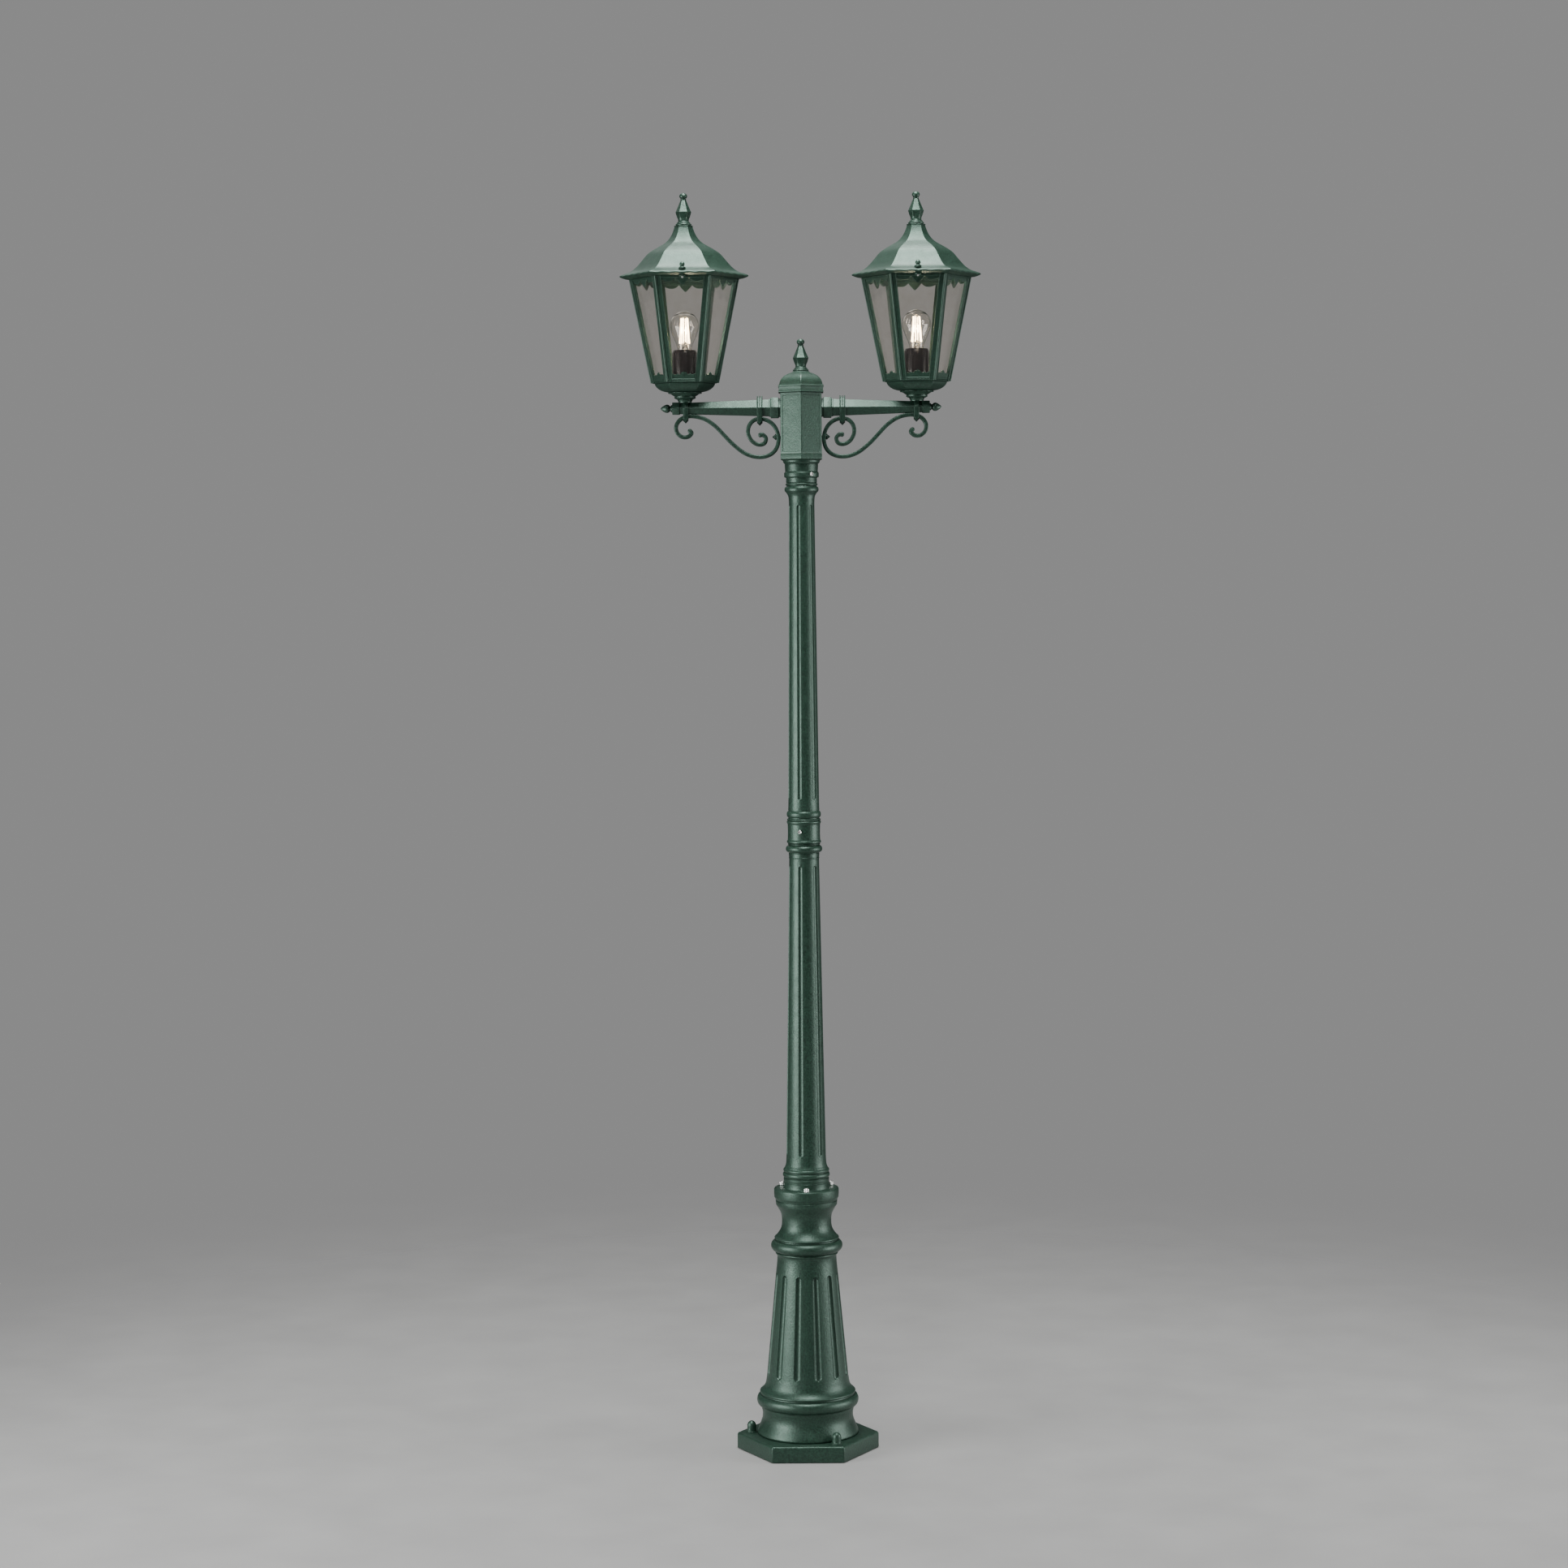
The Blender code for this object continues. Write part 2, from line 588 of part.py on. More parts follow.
def make_outer_clamp(side, sign):
    """Open strap that holds the scroll up against the arm, pointed below."""
    name = side + "_outer_clamp"
    low, high = 207.5, 214.5
    half = arm_half_height(low) + GAP
    corner = half / math.cos(math.radians(30.0))
    bar = SCROLL_WIDTH / 2 + GAP
    inner = [(-corner, ARM_Z), (-bar, 1917.0), (-bar, 1908.0), (bar, 1908.0), (bar, 1917.0),
             (corner, ARM_Z)]
    outer = [(corner + 2.6, ARM_Z), (bar + 2.6, 1916.0), (bar + 2.2, 1907.4), (2.5, 1904.4),
             (-2.5, 1904.4), (-bar - 2.2, 1907.4), (-bar - 2.6, 1916.0), (-corner - 2.6, ARM_Z)]
    extruded(name, inner + outer, low, high, paint(name), strap_place(sign))


def make_lamp_lead(side, sign):
    """Lead from the terminal block through the arm and the stem to the lamp holder."""
    corners = [(9.0, 1888.4), (9.0, 1905.0), (11.0, 1918.0), (20.0, 1927.0), (34.0, 1928.8),
               (60.0, 1928.8), (190.0, 1928.8), (205.0, 1928.2), (211.0, 1931.0),
               (212.3, 1938.0), (LANTERN_REACH, 1950.0), (LANTERN_REACH, 1985.0)]
    route = [(sign * x, 0.0, z) for x, z in corners]
    lead(side + "_lamp_lead", route, 1.8, BLACK)


# One lantern, on its axis at the end of the arm.

def make_stem(side, x):
    """Turned stem on the arm, with a hollow nipple up into the lamp holder."""
    profile = [(11.7, 1939.6), (13.7, 1943.0), (19.5, 1948.0), (19.5, 1950.0), (23.0, 1954.0),
               (31.0, BOWL_LOW_Z - GAP), (5.0, BOWL_LOW_Z - GAP), (5.0, 1972.0), (3.4, 1972.0),
               (3.4, 1939.6)]
    name = side + "_stem"
    turned(name, profile, paint(name), closed=True, location=(x, 0.0, 0.0))


def make_bowl(side, x):
    """Hexagonal dish that closes the lantern below."""
    angles = even_angles(12)
    rings = [circle(5.3, BOWL_LOW_Z, angles), circle(31.0, BOWL_LOW_Z, angles)]
    dish = [(41.0, 1960.5), (50.0, 1966.0), (55.4, CAGE_LOW_Z - GAP), (51.5, CAGE_LOW_Z - GAP),
            (47.0, 1967.5), (39.0, 1963.5)]
    rings += [hexagon(radius, z, angles) for radius, z in dish]
    rings += [circle(28.0, 1961.3, angles), circle(5.3, 1961.3, angles)]
    name = side + "_bowl"
    loft(name, rings, paint(name), closed=True, location=(x, 0.0, 0.0))


def cage_radius(z):
    """Outer circumradius of the cage at a height."""
    share = (z - CAGE_RING_Z) / (CAGE_TOP_Z - CAGE_RING_Z)
    return CAGE_LOW_R + (CAGE_TOP_R - CAGE_LOW_R) * share


def window_outline():
    """One face's opening: scalloped below, fringed above, as (share of half width, z)."""
    right = [(0.0, 1996.0), (0.18, 1994.0), (0.42, 1990.5), (0.62, 1987.0), (0.76, 1986.5),
             (0.85, 2158.0), (0.50, 2153.5), (0.27, 2160.0), (0.12, 2152.0), (0.0, 2147.5)]
    left = [(-share, z) for share, z in reversed(right[1:-1])]
    return right + left


def make_window_tool(name, x, angle):
    """The solid that cuts one face's window out of the cage."""
    turn = Matrix.Rotation(math.radians(angle), 3, "Z")
    points = []
    for depth in (20.0, -12.0):
        for share, z in window_outline():
            half_width = cage_radius(z) / 2
            apothem = cage_radius(z) * math.cos(math.radians(30.0))
            local = turn @ Vector((apothem + depth, share * half_width, z))
            points.append((local.x + x, local.y, z))
    size = len(window_outline())
    faces = [tuple(range(size)), tuple(reversed(range(size, 2 * size)))]
    for side in range(size):
        after = (side + 1) % size
        faces.append((side, size + side, size + after, after))
    return add_object(name, points, faces, None)


def make_lug_tool(name, x, angle):
    """The ear under the eave that one roof knob screws into."""
    turn = Matrix.Rotation(math.radians(angle), 3, "Z")
    points = []
    for z in (2158.5, CAGE_TOP_Z):
        for radial, across in ((82.5, -6.0), (97.5, -6.0), (97.5, 6.0), (82.5, 6.0)):
            local = turn @ Vector((radial, across, z))
            points.append((local.x + x, local.y, z))
    faces = [(3, 2, 1, 0), (4, 5, 6, 7), (0, 1, 5, 4), (1, 2, 6, 5), (2, 3, 7, 6), (3, 0, 4, 7)]
    return add_object(name, points, faces, None)


def make_cage(side, x):
    """Six-sided frame that widens upwards, with a window in each face."""
    angles = even_angles(6)
    wall = CAGE_WALL / math.cos(math.radians(30.0))
    profile = [(CAGE_LOW_R - 2.0, CAGE_LOW_Z), (CAGE_LOW_R, CAGE_RING_Z),
               (CAGE_TOP_R, CAGE_TOP_Z), (CAGE_TOP_R - wall, CAGE_TOP_Z),
               (CAGE_LOW_R - wall, CAGE_RING_Z), (47.0, CAGE_RING_Z), (47.0, CAGE_LOW_Z)]
    rings = [hexagon(radius, z, angles) for radius, z in profile]
    name = side + "_cage"
    cage = loft(name, rings, paint(name), closed=True)
    for vertex in cage.data.vertices:
        vertex.co.x += x * MM
    for angle in KNOB_ANGLES:
        combine(cage, make_lug_tool("%s_lug_%d" % (name, angle), x, angle), "UNION")
    for face in range(6):
        angle = 60.0 * face + 30.0
        combine(cage, make_window_tool("%s_window_%d" % (name, face), x, angle))
    for angle in KNOB_ANGLES:
        low = Vector(at_angle(KNOB_CIRCLE_R, angle, 2150.0)) + Vector((x, 0.0, 0.0))
        high = low + Vector((0.0, 0.0, 25.0))
        drill(cage, "knob_hole_%d" % angle, low, high, STUD_HOLE_R, sides=8)


def make_glazing(side, x):
    """The six panes, as one band of glass inside the cage."""
    angles = even_angles(6)
    inset = (CAGE_WALL + GAP) / math.cos(math.radians(30.0))
    depth = GLASS_THICKNESS / math.cos(math.radians(30.0))
    low, high = CAGE_RING_Z + 0.6, CAGE_TOP_Z - 3.0
    rings = [hexagon(cage_radius(low) - inset, low, angles)]
    rings.append(hexagon(cage_radius(high) - inset, high, angles))
    rings.append(hexagon(cage_radius(high) - inset - depth, high, angles))
    rings.append(hexagon(cage_radius(low) - inset - depth, low, angles))
    name = side + "_glazing"
    surface = material(name + "_glass", CLEAR, 0.03, transmission=1.0)
    loft(name, rings, surface, closed=True, location=(x, 0.0, 0.0))


def make_roof(side, x, body):
    """Swept hexagonal roof with a wide eave, hollow inside."""
    angles = even_angles(6)
    outside = [(87.0, 2164.3), (111.0, 2164.3), (114.0, 2165.4), (ROOF_LIP_R, 2167.4),
               (ROOF_LIP_R, 2171.6), (107.0, 2174.4), (101.0, 2176.0), (94.0, 2180.0),
               (88.0, 2185.0), (76.0, 2198.0), (65.0, 2211.0), (57.0, 2216.0), (44.0, 2224.5),
               (35.0, 2229.0), (25.6, 2238.0), (19.0, 2251.0), (15.5, ROOF_TOP_Z)]
    inside = [(11.5, 2257.5), (15.5, 2249.0), (22.5, 2234.5), (33.0, 2225.0), (42.0, 2220.5),
              (54.0, 2212.5), (62.0, 2207.5), (72.5, 2195.5), (84.5, 2182.0), (87.0, 2178.5)]
    rings = [hexagon(radius, z, angles) for radius, z in outside]
    rings.append(circle(STUD_HOLE_R, ROOF_TOP_Z, angles))
    rings.append(circle(STUD_HOLE_R, 2257.5, angles))
    rings += [hexagon(radius, z, angles) for radius, z in inside]
    shift = body.location / MM
    name = side + "_roof"
    local = [[Vector(point) - Vector((0.0, 0.0, shift.z)) for point in ring] for ring in rings]
    roof = loft(name, local, paint(name), closed=True, location=shift)
    for angle in KNOB_ANGLES:
        low = Vector(at_angle(KNOB_CIRCLE_R, angle, 2155.0)) + Vector((x, 0.0, 0.0))
        high = low + Vector((0.0, 0.0, 30.0))
        drill(roof, "knob_hole_%d" % angle, low, high, STUD_HOLE_R, sides=8)
    attach(roof, body)


def make_roof_knobs(side, x, body):
    """Acorn knobs whose studs go through the eave into the cage's ears."""
    profile = [(0.0, -24.0), (STUD_R, -24.0), (STUD_R, 0.0), (4.4, 0.0), (5.5, 3.0), (4.0, 8.8),
               (0.0, 11.2)]
    for index, angle in enumerate(KNOB_ANGLES):
        name = "%s_roof_knob_%d" % (side, index + 1)
        place = Vector(at_angle(KNOB_CIRCLE_R, angle, 2177.4)) + Vector((x, 0.0, 0.0))
        knob = turned(name, profile, paint(name), sides=8, location=place)
        attach(knob, body)


def make_lamp_holder(side, x):
    """Black lamp holder with the threaded socket for the bulb."""
    profile = [(5.3, 1961.6), (10.0, 1961.6), (10.0, 1979.0), (20.0, 1985.0), (HOLDER_RADIUS, 1990.0),
               (HOLDER_RADIUS, 2033.0), (21.0, 2035.0), (13.9, 2035.0), (13.9, 2003.0),
               (3.5, 2003.0), (3.5, 1972.6), (5.3, 1972.6)]
    name = side + "_lamp_holder"
    surface = material(name + "_plastic", BLACK, 0.12)
    turned(name, profile, surface, closed=True, location=(x, 0.0, 0.0))


def make_bulb(side, x, body):
    """Clear bulb: contact, screw cap, glass and filaments."""
    name = side + "_bulb_contact"
    contact = [(0.0, 2003.6), (3.6, 2003.6), (4.2, 2004.4), (4.2, 2005.0), (0.0, 2005.0)]
    place = (x, 0.0, 0.0)
    disc = turned(name, contact, material(name + "_brass", BRASS, 0.3, 1.0), sides=12, location=place)
    attach(disc, body)
    name = side + "_bulb_cap"
    cap = [(0.0, 2005.3), (7.0, 2005.3), (13.2, 2010.0), (13.2, BULB_NECK_Z - GAP),
           (0.0, BULB_NECK_Z - GAP)]
    shell = turned(name, cap, steel(name), sides=12, location=place)
    attach(shell, body)
    name = side + "_bulb_glass"
    outside = [(12.6, BULB_NECK_Z), (15.0, 2044.0), (21.0, 2058.0)]
    centre = BULB_TOP_Z - BULB_RADIUS
    outside += [(BULB_RADIUS * math.cos(math.radians(lift)),
                 centre + BULB_RADIUS * math.sin(math.radians(lift)))
                for lift in (-15.0, 10.0, 35.0, 62.0, 90.0)]
    inside = [(max(radius - 1.0, 0.0), z - 0.8) for radius, z in outside[1:-1]]
    skin = [(0.0, BULB_TOP_Z - 1.0)] + inside[::-1] + [(11.6, BULB_NECK_Z)] + outside
    surface = material(name + "_glass", CLEAR, 0.02, transmission=1.0)
    glass = turned(name, skin, surface, sides=12, location=place)
    attach(glass, body)
    make_filament(side, x, body)


def make_filament(side, x, body):
    """Glass stem that carries four light-emitting sticks."""
    name = side + "_filament"
    profile = [(0.0, BULB_NECK_Z), (6.0, BULB_NECK_Z), (3.5, 2046.0), (7.5, 2050.0), (7.5, 2052.0),
               (1.5, 2053.0), (1.5, 2089.0), (4.0, 2090.0), (4.0, 2092.0), (0.0, 2092.0)]
    stem = turned(name, profile, material(name + "_glow", WARM, 0.4), sides=8, location=(x, 0.0, 0.0))
    for angle in (45.0, 135.0, 225.0, 315.0):
        low = Vector(at_angle(6.4, angle, 2051.0)) + Vector((x, 0.0, 0.0))
        high = Vector(at_angle(3.0, angle, 2091.0)) + Vector((x, 0.0, 0.0))
        combine(stem, rod("%s_stick_%d" % (name, angle), low, high, 0.9, sides=6), "UNION")
    attach(stem, body)


def make_lantern(side, sign):
    """Everything above one arm."""
    x = sign * LANTERN_REACH
    make_stem(side, x)
    make_bowl(side, x)
    make_cage(side, x)
    make_glazing(side, x)
    make_lamp_holder(side, x)
    roof_body = group(side + "_roof_body", (x, 0.0, ROOF_LOW_Z))
    make_roof(side, x, roof_body)
    finial = make_finial(side + "_roof_finial", (x, 0.0, ROOF_TOP_Z))
    attach(finial, roof_body)
    make_roof_knobs(side, x, roof_body)
    bulb_body = group(side + "_bulb_body", (x, 0.0, BULB_NECK_Z))
    make_bulb(side, x, bulb_body)


def make_side(side, sign):
    """One arm and its lantern."""
    make_arm(side, sign)
    make_arm_tip(side, sign)
    make_scroll(side, sign)
    make_scroll_screw(side, sign)
    make_inner_clamp(side, sign)
    make_outer_clamp(side, sign)
    make_lamp_lead(side, sign)
    make_lantern(side, sign)


def main():
    clear_scene()
    make_pedestal()
    make_anchor_nuts()
    make_lower_shaft()
    make_post_screws()
    make_joint_collar()
    make_upper_shaft()
    make_head_housing()
    make_head_cap()
    make_finial("head_finial", (0.0, 0.0, 1995.4))
    make_wiring()
    make_side("left", -1.0)
    make_side("right", 1.0)


main()
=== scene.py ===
"""Looks of the twin-lantern street lamp post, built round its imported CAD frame.

Shapes are drawn in millimetres in the row's own frame: +Z up, -Y to the front, the arms along X.
Every piece starts from where its CAD node lies, and rides on that node's body.
"""

import math

import bmesh
import bpy
from mathutils import Matrix, Vector


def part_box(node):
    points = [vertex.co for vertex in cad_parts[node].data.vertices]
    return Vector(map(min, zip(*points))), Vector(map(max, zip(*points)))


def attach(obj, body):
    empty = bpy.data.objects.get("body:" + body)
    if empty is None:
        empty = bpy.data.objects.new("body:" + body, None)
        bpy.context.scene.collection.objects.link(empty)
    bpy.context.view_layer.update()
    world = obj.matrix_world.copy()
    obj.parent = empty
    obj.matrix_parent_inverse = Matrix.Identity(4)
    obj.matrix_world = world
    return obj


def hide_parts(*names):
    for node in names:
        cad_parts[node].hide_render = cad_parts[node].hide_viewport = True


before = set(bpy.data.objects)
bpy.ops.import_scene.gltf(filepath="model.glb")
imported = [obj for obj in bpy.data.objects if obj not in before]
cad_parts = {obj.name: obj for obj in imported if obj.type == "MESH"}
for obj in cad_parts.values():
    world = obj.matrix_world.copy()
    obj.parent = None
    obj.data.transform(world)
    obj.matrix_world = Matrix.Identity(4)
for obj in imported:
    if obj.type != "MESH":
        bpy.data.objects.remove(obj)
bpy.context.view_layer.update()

MM = 0.001
MERGE_DISTANCE = 0.002 * MM
BEVEL_ANGLE = math.radians(35.0)


def lowest(node):
    """A CAD node's lowest corner, in millimetres."""
    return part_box(node)[0] / MM


def highest(node):
    """A CAD node's highest corner, in millimetres."""
    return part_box(node)[1] / MM


def middle(node):
    """The middle of a CAD node's box, in millimetres."""
    return (lowest(node) + highest(node)) / 2


# Places that come from the frame, in millimetres.
FOOT_CORNER = highest("pedestal").x
CUP_RIM = highest("pedestal").z
CUP_FLOOR = lowest("lower_shaft").z
NUT_HEIGHT = 21.5
NUT_SEAT = highest("anchor_cap_nut_1").z - NUT_HEIGHT
COLLAR_LOW = lowest("joint_collar").z
COLLAR_HIGH = highest("joint_collar").z
HEAD_LOW = lowest("head_housing").z
HEAD_TOP = highest("head_housing").z
HEAD_FLAT = HEAD_TOP - 121.7
HEAD_TURN = 30.0
CAP_SEAT = HEAD_TOP + 0.3
CAP_TOP = highest("head_cap").z
ROOF_LOW = lowest("right_roof").z
ROOF_TOP = highest("right_roof").z
FINIAL_HEIGHT = highest("head_finial").z - CAP_TOP
CAGE_LOW = lowest("right_cage").z
CAGE_TOP = highest("right_cage").z
CAGE_TOP_R = highest("right_cage").x - middle("right_cage").x
CAGE_LOW_R = CAGE_TOP_R - 37.8
BOWL_LOW = lowest("right_bowl").z
STEM_LOW = lowest("right_stem").z
LANTERN_X = middle("right_roof").x
ARM_Z = middle("right_arm").z
ARM_END = highest("right_arm").x
BULB_NECK = lowest("right_bulb_glass").z
BULB_TOP = highest("right_bulb_glass").z
BULB_R = (highest("right_bulb_glass").y - lowest("right_bulb_glass").y) / 2
HOLDER_LOW = lowest("right_lamp_holder").z
HOLDER_TOP = highest("right_lamp_holder").z
HOLDER_R = highest("right_lamp_holder").y

WIDE = 1.0 / math.cos(math.radians(30.0))
SIDES = (("left", -1.0), ("right", 1.0))


# Outlines: lists of (radius, z) or (u, v) points in millimetres.

def curve(points, steps=6):
    """A smooth Catmull-Rom line through points of any dimension."""
    padded = [points[0]] + list(points) + [points[-1]]
    line = []
    for index in range(1, len(padded) - 2):
        before, start, end, after = (Vector(padded[index + shift]) for shift in (-1, 0, 1, 2))
        for step in range(steps):
            t = step / steps
            bend = (2 * before - 5 * start + 4 * end - after) * t * t
            twist = (3 * start - before - 3 * end + after) * t * t * t
            line.append(tuple((2 * start + (end - before) * t + bend + twist) / 2))
    line.append(tuple(points[-1]))
    return line


def bead(radius, low, high, height, steps=10):
    """A half-round moulding that stands out from a radius."""
    points = []
    for step in range(steps + 1):
        turn = math.pi * step / steps
        z = (low + high) / 2 - (high - low) / 2 * math.cos(turn)
        points.append((radius + height * math.sin(turn), z))
    return points


def dome(radius, centre, height, lifts, base_radius=0.0):
    """An upright ellipse's points at angles in degrees from its equator."""
    turns = [math.radians(lift) for lift in lifts]
    return [(base_radius + radius * math.cos(turn), centre + height * math.sin(turn))
            for turn in turns]


def eased(points, radius=0.6, steps=3, closed=False):
    """The same outline with its sharp corners rounded off."""
    count = len(points)
    result = []
    for index, point in enumerate(points):
        if not closed and index in (0, count - 1):
            result.append(tuple(point))
            continue
        here = Vector(point)
        before = Vector(points[index - 1]) - here
        after = Vector(points[(index + 1) % count]) - here
        if min(before.length, after.length) < 0.001 or before.angle(-after) < math.radians(14.0):
            result.append(tuple(point))
            continue
        cut = min(radius * math.tan(before.angle(-after) / 2), before.length * 0.4,
                  after.length * 0.4)
        start = here + before.normalized() * cut
        end = here + after.normalized() * cut
        for step in range(steps + 1):
            t = step / steps
            result.append(tuple(start * (1 - t) ** 2 + here * 2 * t * (1 - t) + end * t ** 2))
    return result


# Section rings: lists of (x, y, z) points in millimetres, counter-clockwise from above.

CORNER_STEPS = 4
SIDE_STEPS = 6
SEXTANT = CORNER_STEPS + SIDE_STEPS


def at_turn(radius, turn, z):
    """A point at an angle in radians."""
    return (radius * math.cos(turn), radius * math.sin(turn), z)


def ring(radius, z, sides):
    """A round ring."""
    return [at_turn(radius, math.tau * side / sides, z) for side in range(sides)]


def hexagon(apothem, z, rounding=1.0, turn=0.0, steps=SIDE_STEPS):
    """A six-sided ring with rounded corners, its first corner at an angle in degrees."""
    points = []
    spread = (apothem - rounding) * WIDE
    for corner in range(6):
        middle = math.radians(turn + 60.0 * corner)
        for step in range(CORNER_STEPS + 1):
            angle = middle + math.radians(-30.0 + 60.0 * step / CORNER_STEPS)
            points.append(Vector((spread * math.cos(middle) + rounding * math.cos(angle),
                                  spread * math.sin(middle) + rounding * math.sin(angle), z)))
        following = math.radians(turn + 60.0 * (corner + 1))
        edge = following - math.radians(30.0)
        start = points[-1]
        end = Vector((spread * math.cos(following) + rounding * math.cos(edge),
                      spread * math.sin(following) + rounding * math.sin(edge), z))
        for step in range(1, steps):
            points.append(start.lerp(end, step / steps))
    return points


def round_match(radius, z, turn=0.0, steps=SIDE_STEPS):
    """A round ring with the same count and order of points as a hexagon."""
    sextant = CORNER_STEPS + steps
    first = math.radians(turn) - math.radians(60.0) * CORNER_STEPS / 2 / sextant
    return [at_turn(radius, first + math.tau * index / (6 * sextant), z)
            for index in range(6 * sextant)]


def mixed(rows, base=0.0, turn=0.0, steps=SIDE_STEPS):
    """Rings over a base: (radius, z) rows are round, (apothem, z, rounding) rows six-sided."""
    rings = []
    for size, z, *rounding in rows:
        shape = hexagon if rounding else round_match
        rings.append(shape(size, base + z, *rounding, turn=turn, steps=steps))
    return rings


class Flutes:
    """Round-ended channels that run up a tapered round section."""

    INSIDE = 12
    BETWEEN = 10
    END_STEPS = 7

    def __init__(self, count, first, low, high, half_low, half_high, depth):
        self.count, self.first = count, first
        self.low, self.high = low, high
        self.half_low, self.half_high = half_low, half_high
        self.depth = depth

    def half_at(self, z):
        """Half of a channel's full width at a height."""
        share = min(max((z - self.low) / (self.high - self.low), 0.0), 1.0)
        return self.half_low + (self.half_high - self.half_low) * share

    def ring(self, radius, z, opening=None):
        """One ring; opening is the channel's half width there, or None where it is plain."""
        full = self.half_at(z)
        half = full if opening is None else max(opening, 0.03 * full)
        sunk = 0.0 if opening is None else self.depth * min(1.0, opening / full) ** 0.5
        spread = half / radius
        pitch = math.tau / self.count
        points = []
        for flute in range(self.count):
            middle = math.radians(self.first) + pitch * flute
            for step in range(self.INSIDE + 1):
                u = math.sin(math.pi / 2 * (2.0 * step / self.INSIDE - 1.0))
                sink = sunk * (1.0 - u * u) ** 0.75
                angle = middle + spread * u
                points.append(at_turn(radius - sink, angle, z))
            gap = pitch - 2.0 * spread
            for step in range(1, self.BETWEEN):
                points.append(at_turn(radius, middle + spread + gap * step / self.BETWEEN, z))
        return points

    def plain(self, outline, base=0.0):
        """Rings without channels over a base."""
        return [self.ring(radius, base + z) for radius, z in outline]

    def rings(self, radius_at, steps=12):
        """All rings of the fluted stretch, closely spaced at its rounded ends."""
        rows = []
        for step in range(self.END_STEPS + 1):
            turn = math.pi / 2 * step / self.END_STEPS
            rows.append((self.low + self.half_low * (1.0 - math.cos(turn)),
                         self.half_low * math.sin(turn)))
        start, end = self.low + self.half_low, self.high - self.half_high
        for step in range(1, steps):
            z = start + (end - start) * step / steps
            rows.append((z, self.half_at(z)))
        for step in range(self.END_STEPS + 1):
            turn = math.pi / 2 * step / self.END_STEPS
            rows.append((end + self.half_high * math.sin(turn), self.half_high * math.cos(turn)))
        return [self.ring(radius_at(z), z, opening) for z, opening in rows]


def between(low, high, r_low, r_high):
    """The radius of a straight taper as a function of height."""
    def radius_at(z):
        return r_low + (r_high - r_low) * (z - low) / (high - low)
    return radius_at


# Shells: (points, faces) of one closed body.

def skin(rings, closed=False):
    """The surface over rings of equal length; closed joins the last ring to the first."""
    size = len(rings[0])
    points = [Vector(point) for one in rings for point in one]
    faces = []
    spans = len(rings) if closed else len(rings) - 1
    for level in range(spans):
        low = level * size
        high = (level + 1) % len(rings) * size
        for side in range(size):
            after = (side + 1) % size
            faces.append((low + side, low + after, high + after, high + side))
    if not closed:
        top = (len(rings) - 1) * size
        faces.append(tuple(reversed(range(size))))
        faces.append(tuple(range(top, top + size)))
    return points, faces


def turned(profile, sides=48, closed=False):
    """A round shell about the Z axis."""
    return skin([ring(radius, z, sides) for radius, z in profile], closed)


def moved(shell, matrix):
    """The same shell set somewhere else."""
    points, faces = shell
    return [matrix @ point for point in points], faces


def shifted(shell, x=0.0, y=0.0, z=0.0):
    """The same shell moved by millimetres."""
    return moved(shell, Matrix.Translation((x, y, z)))


def pointed(shell, place, direction):
    """The same shell with its own +Z along a direction, standing on a place."""
    turn = Vector(direction).to_track_quat("Z", "Y").to_matrix().to_4x4()
    return moved(shell, Matrix.Translation(place) @ turn)


def turned_about(shell, angle):
    """The same shell turned about the Z axis by degrees."""
    return moved(shell, Matrix.Rotation(math.radians(angle), 4, "Z"))


def polar(radius, angle, z=0.0):
    """A point at a polar angle in degrees."""
    return Vector(at_turn(radius, math.radians(angle), z))


def set_up(name, data):
    """A new object in the scene."""
    thing = bpy.data.objects.new(name, data)
    bpy.context.scene.collection.objects.link(thing)
    return thing


def add_piece(name, shells, replaces=(), x=0.0, body="post", finish=None, bevel=0.0, sharp=32.0):
    """One painted or otherwise finished object from closed shells, riding on a body."""
    surface, slot = finish or PAINT
    offset = Vector((x, 0.0, 0.0))
    points, faces = [], []
    for shell_points, shell_faces in shells:
        start = len(points)
        points += [(Vector(point) + offset) * MM for point in shell_points]
        faces += [tuple(start + corner for corner in face) for face in shell_faces]
    mesh = bpy.data.meshes.new(name)
    mesh.from_pydata(points, [], faces)
    shape = bmesh.new()
    shape.from_mesh(mesh)
    bmesh.ops.remove_doubles(shape, verts=shape.verts, dist=MERGE_DISTANCE)
    bmesh.ops.dissolve_degenerate(shape, edges=shape.edges, dist=MERGE_DISTANCE)
    bmesh.ops.recalc_face_normals(shape, faces=shape.faces)
    shape.to_mesh(mesh)
    shape.free()
    mesh.shade_smooth()
    mesh.set_sharp_from_angle(angle=math.radians(sharp))
    mesh.materials.append(surface)
    piece = set_up(name, mesh)
    if bevel:
        edge = piece.modifiers.new("soft_edges", "BEVEL")
        edge.width = bevel * MM
        edge.segments = 2
        edge.limit_method = "ANGLE"
        edge.angle_limit = BEVEL_ANGLE
        edge.harden_normals = False
    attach(piece, body)
    if replaces:
        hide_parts(*replaces)
    return piece


# Materials.

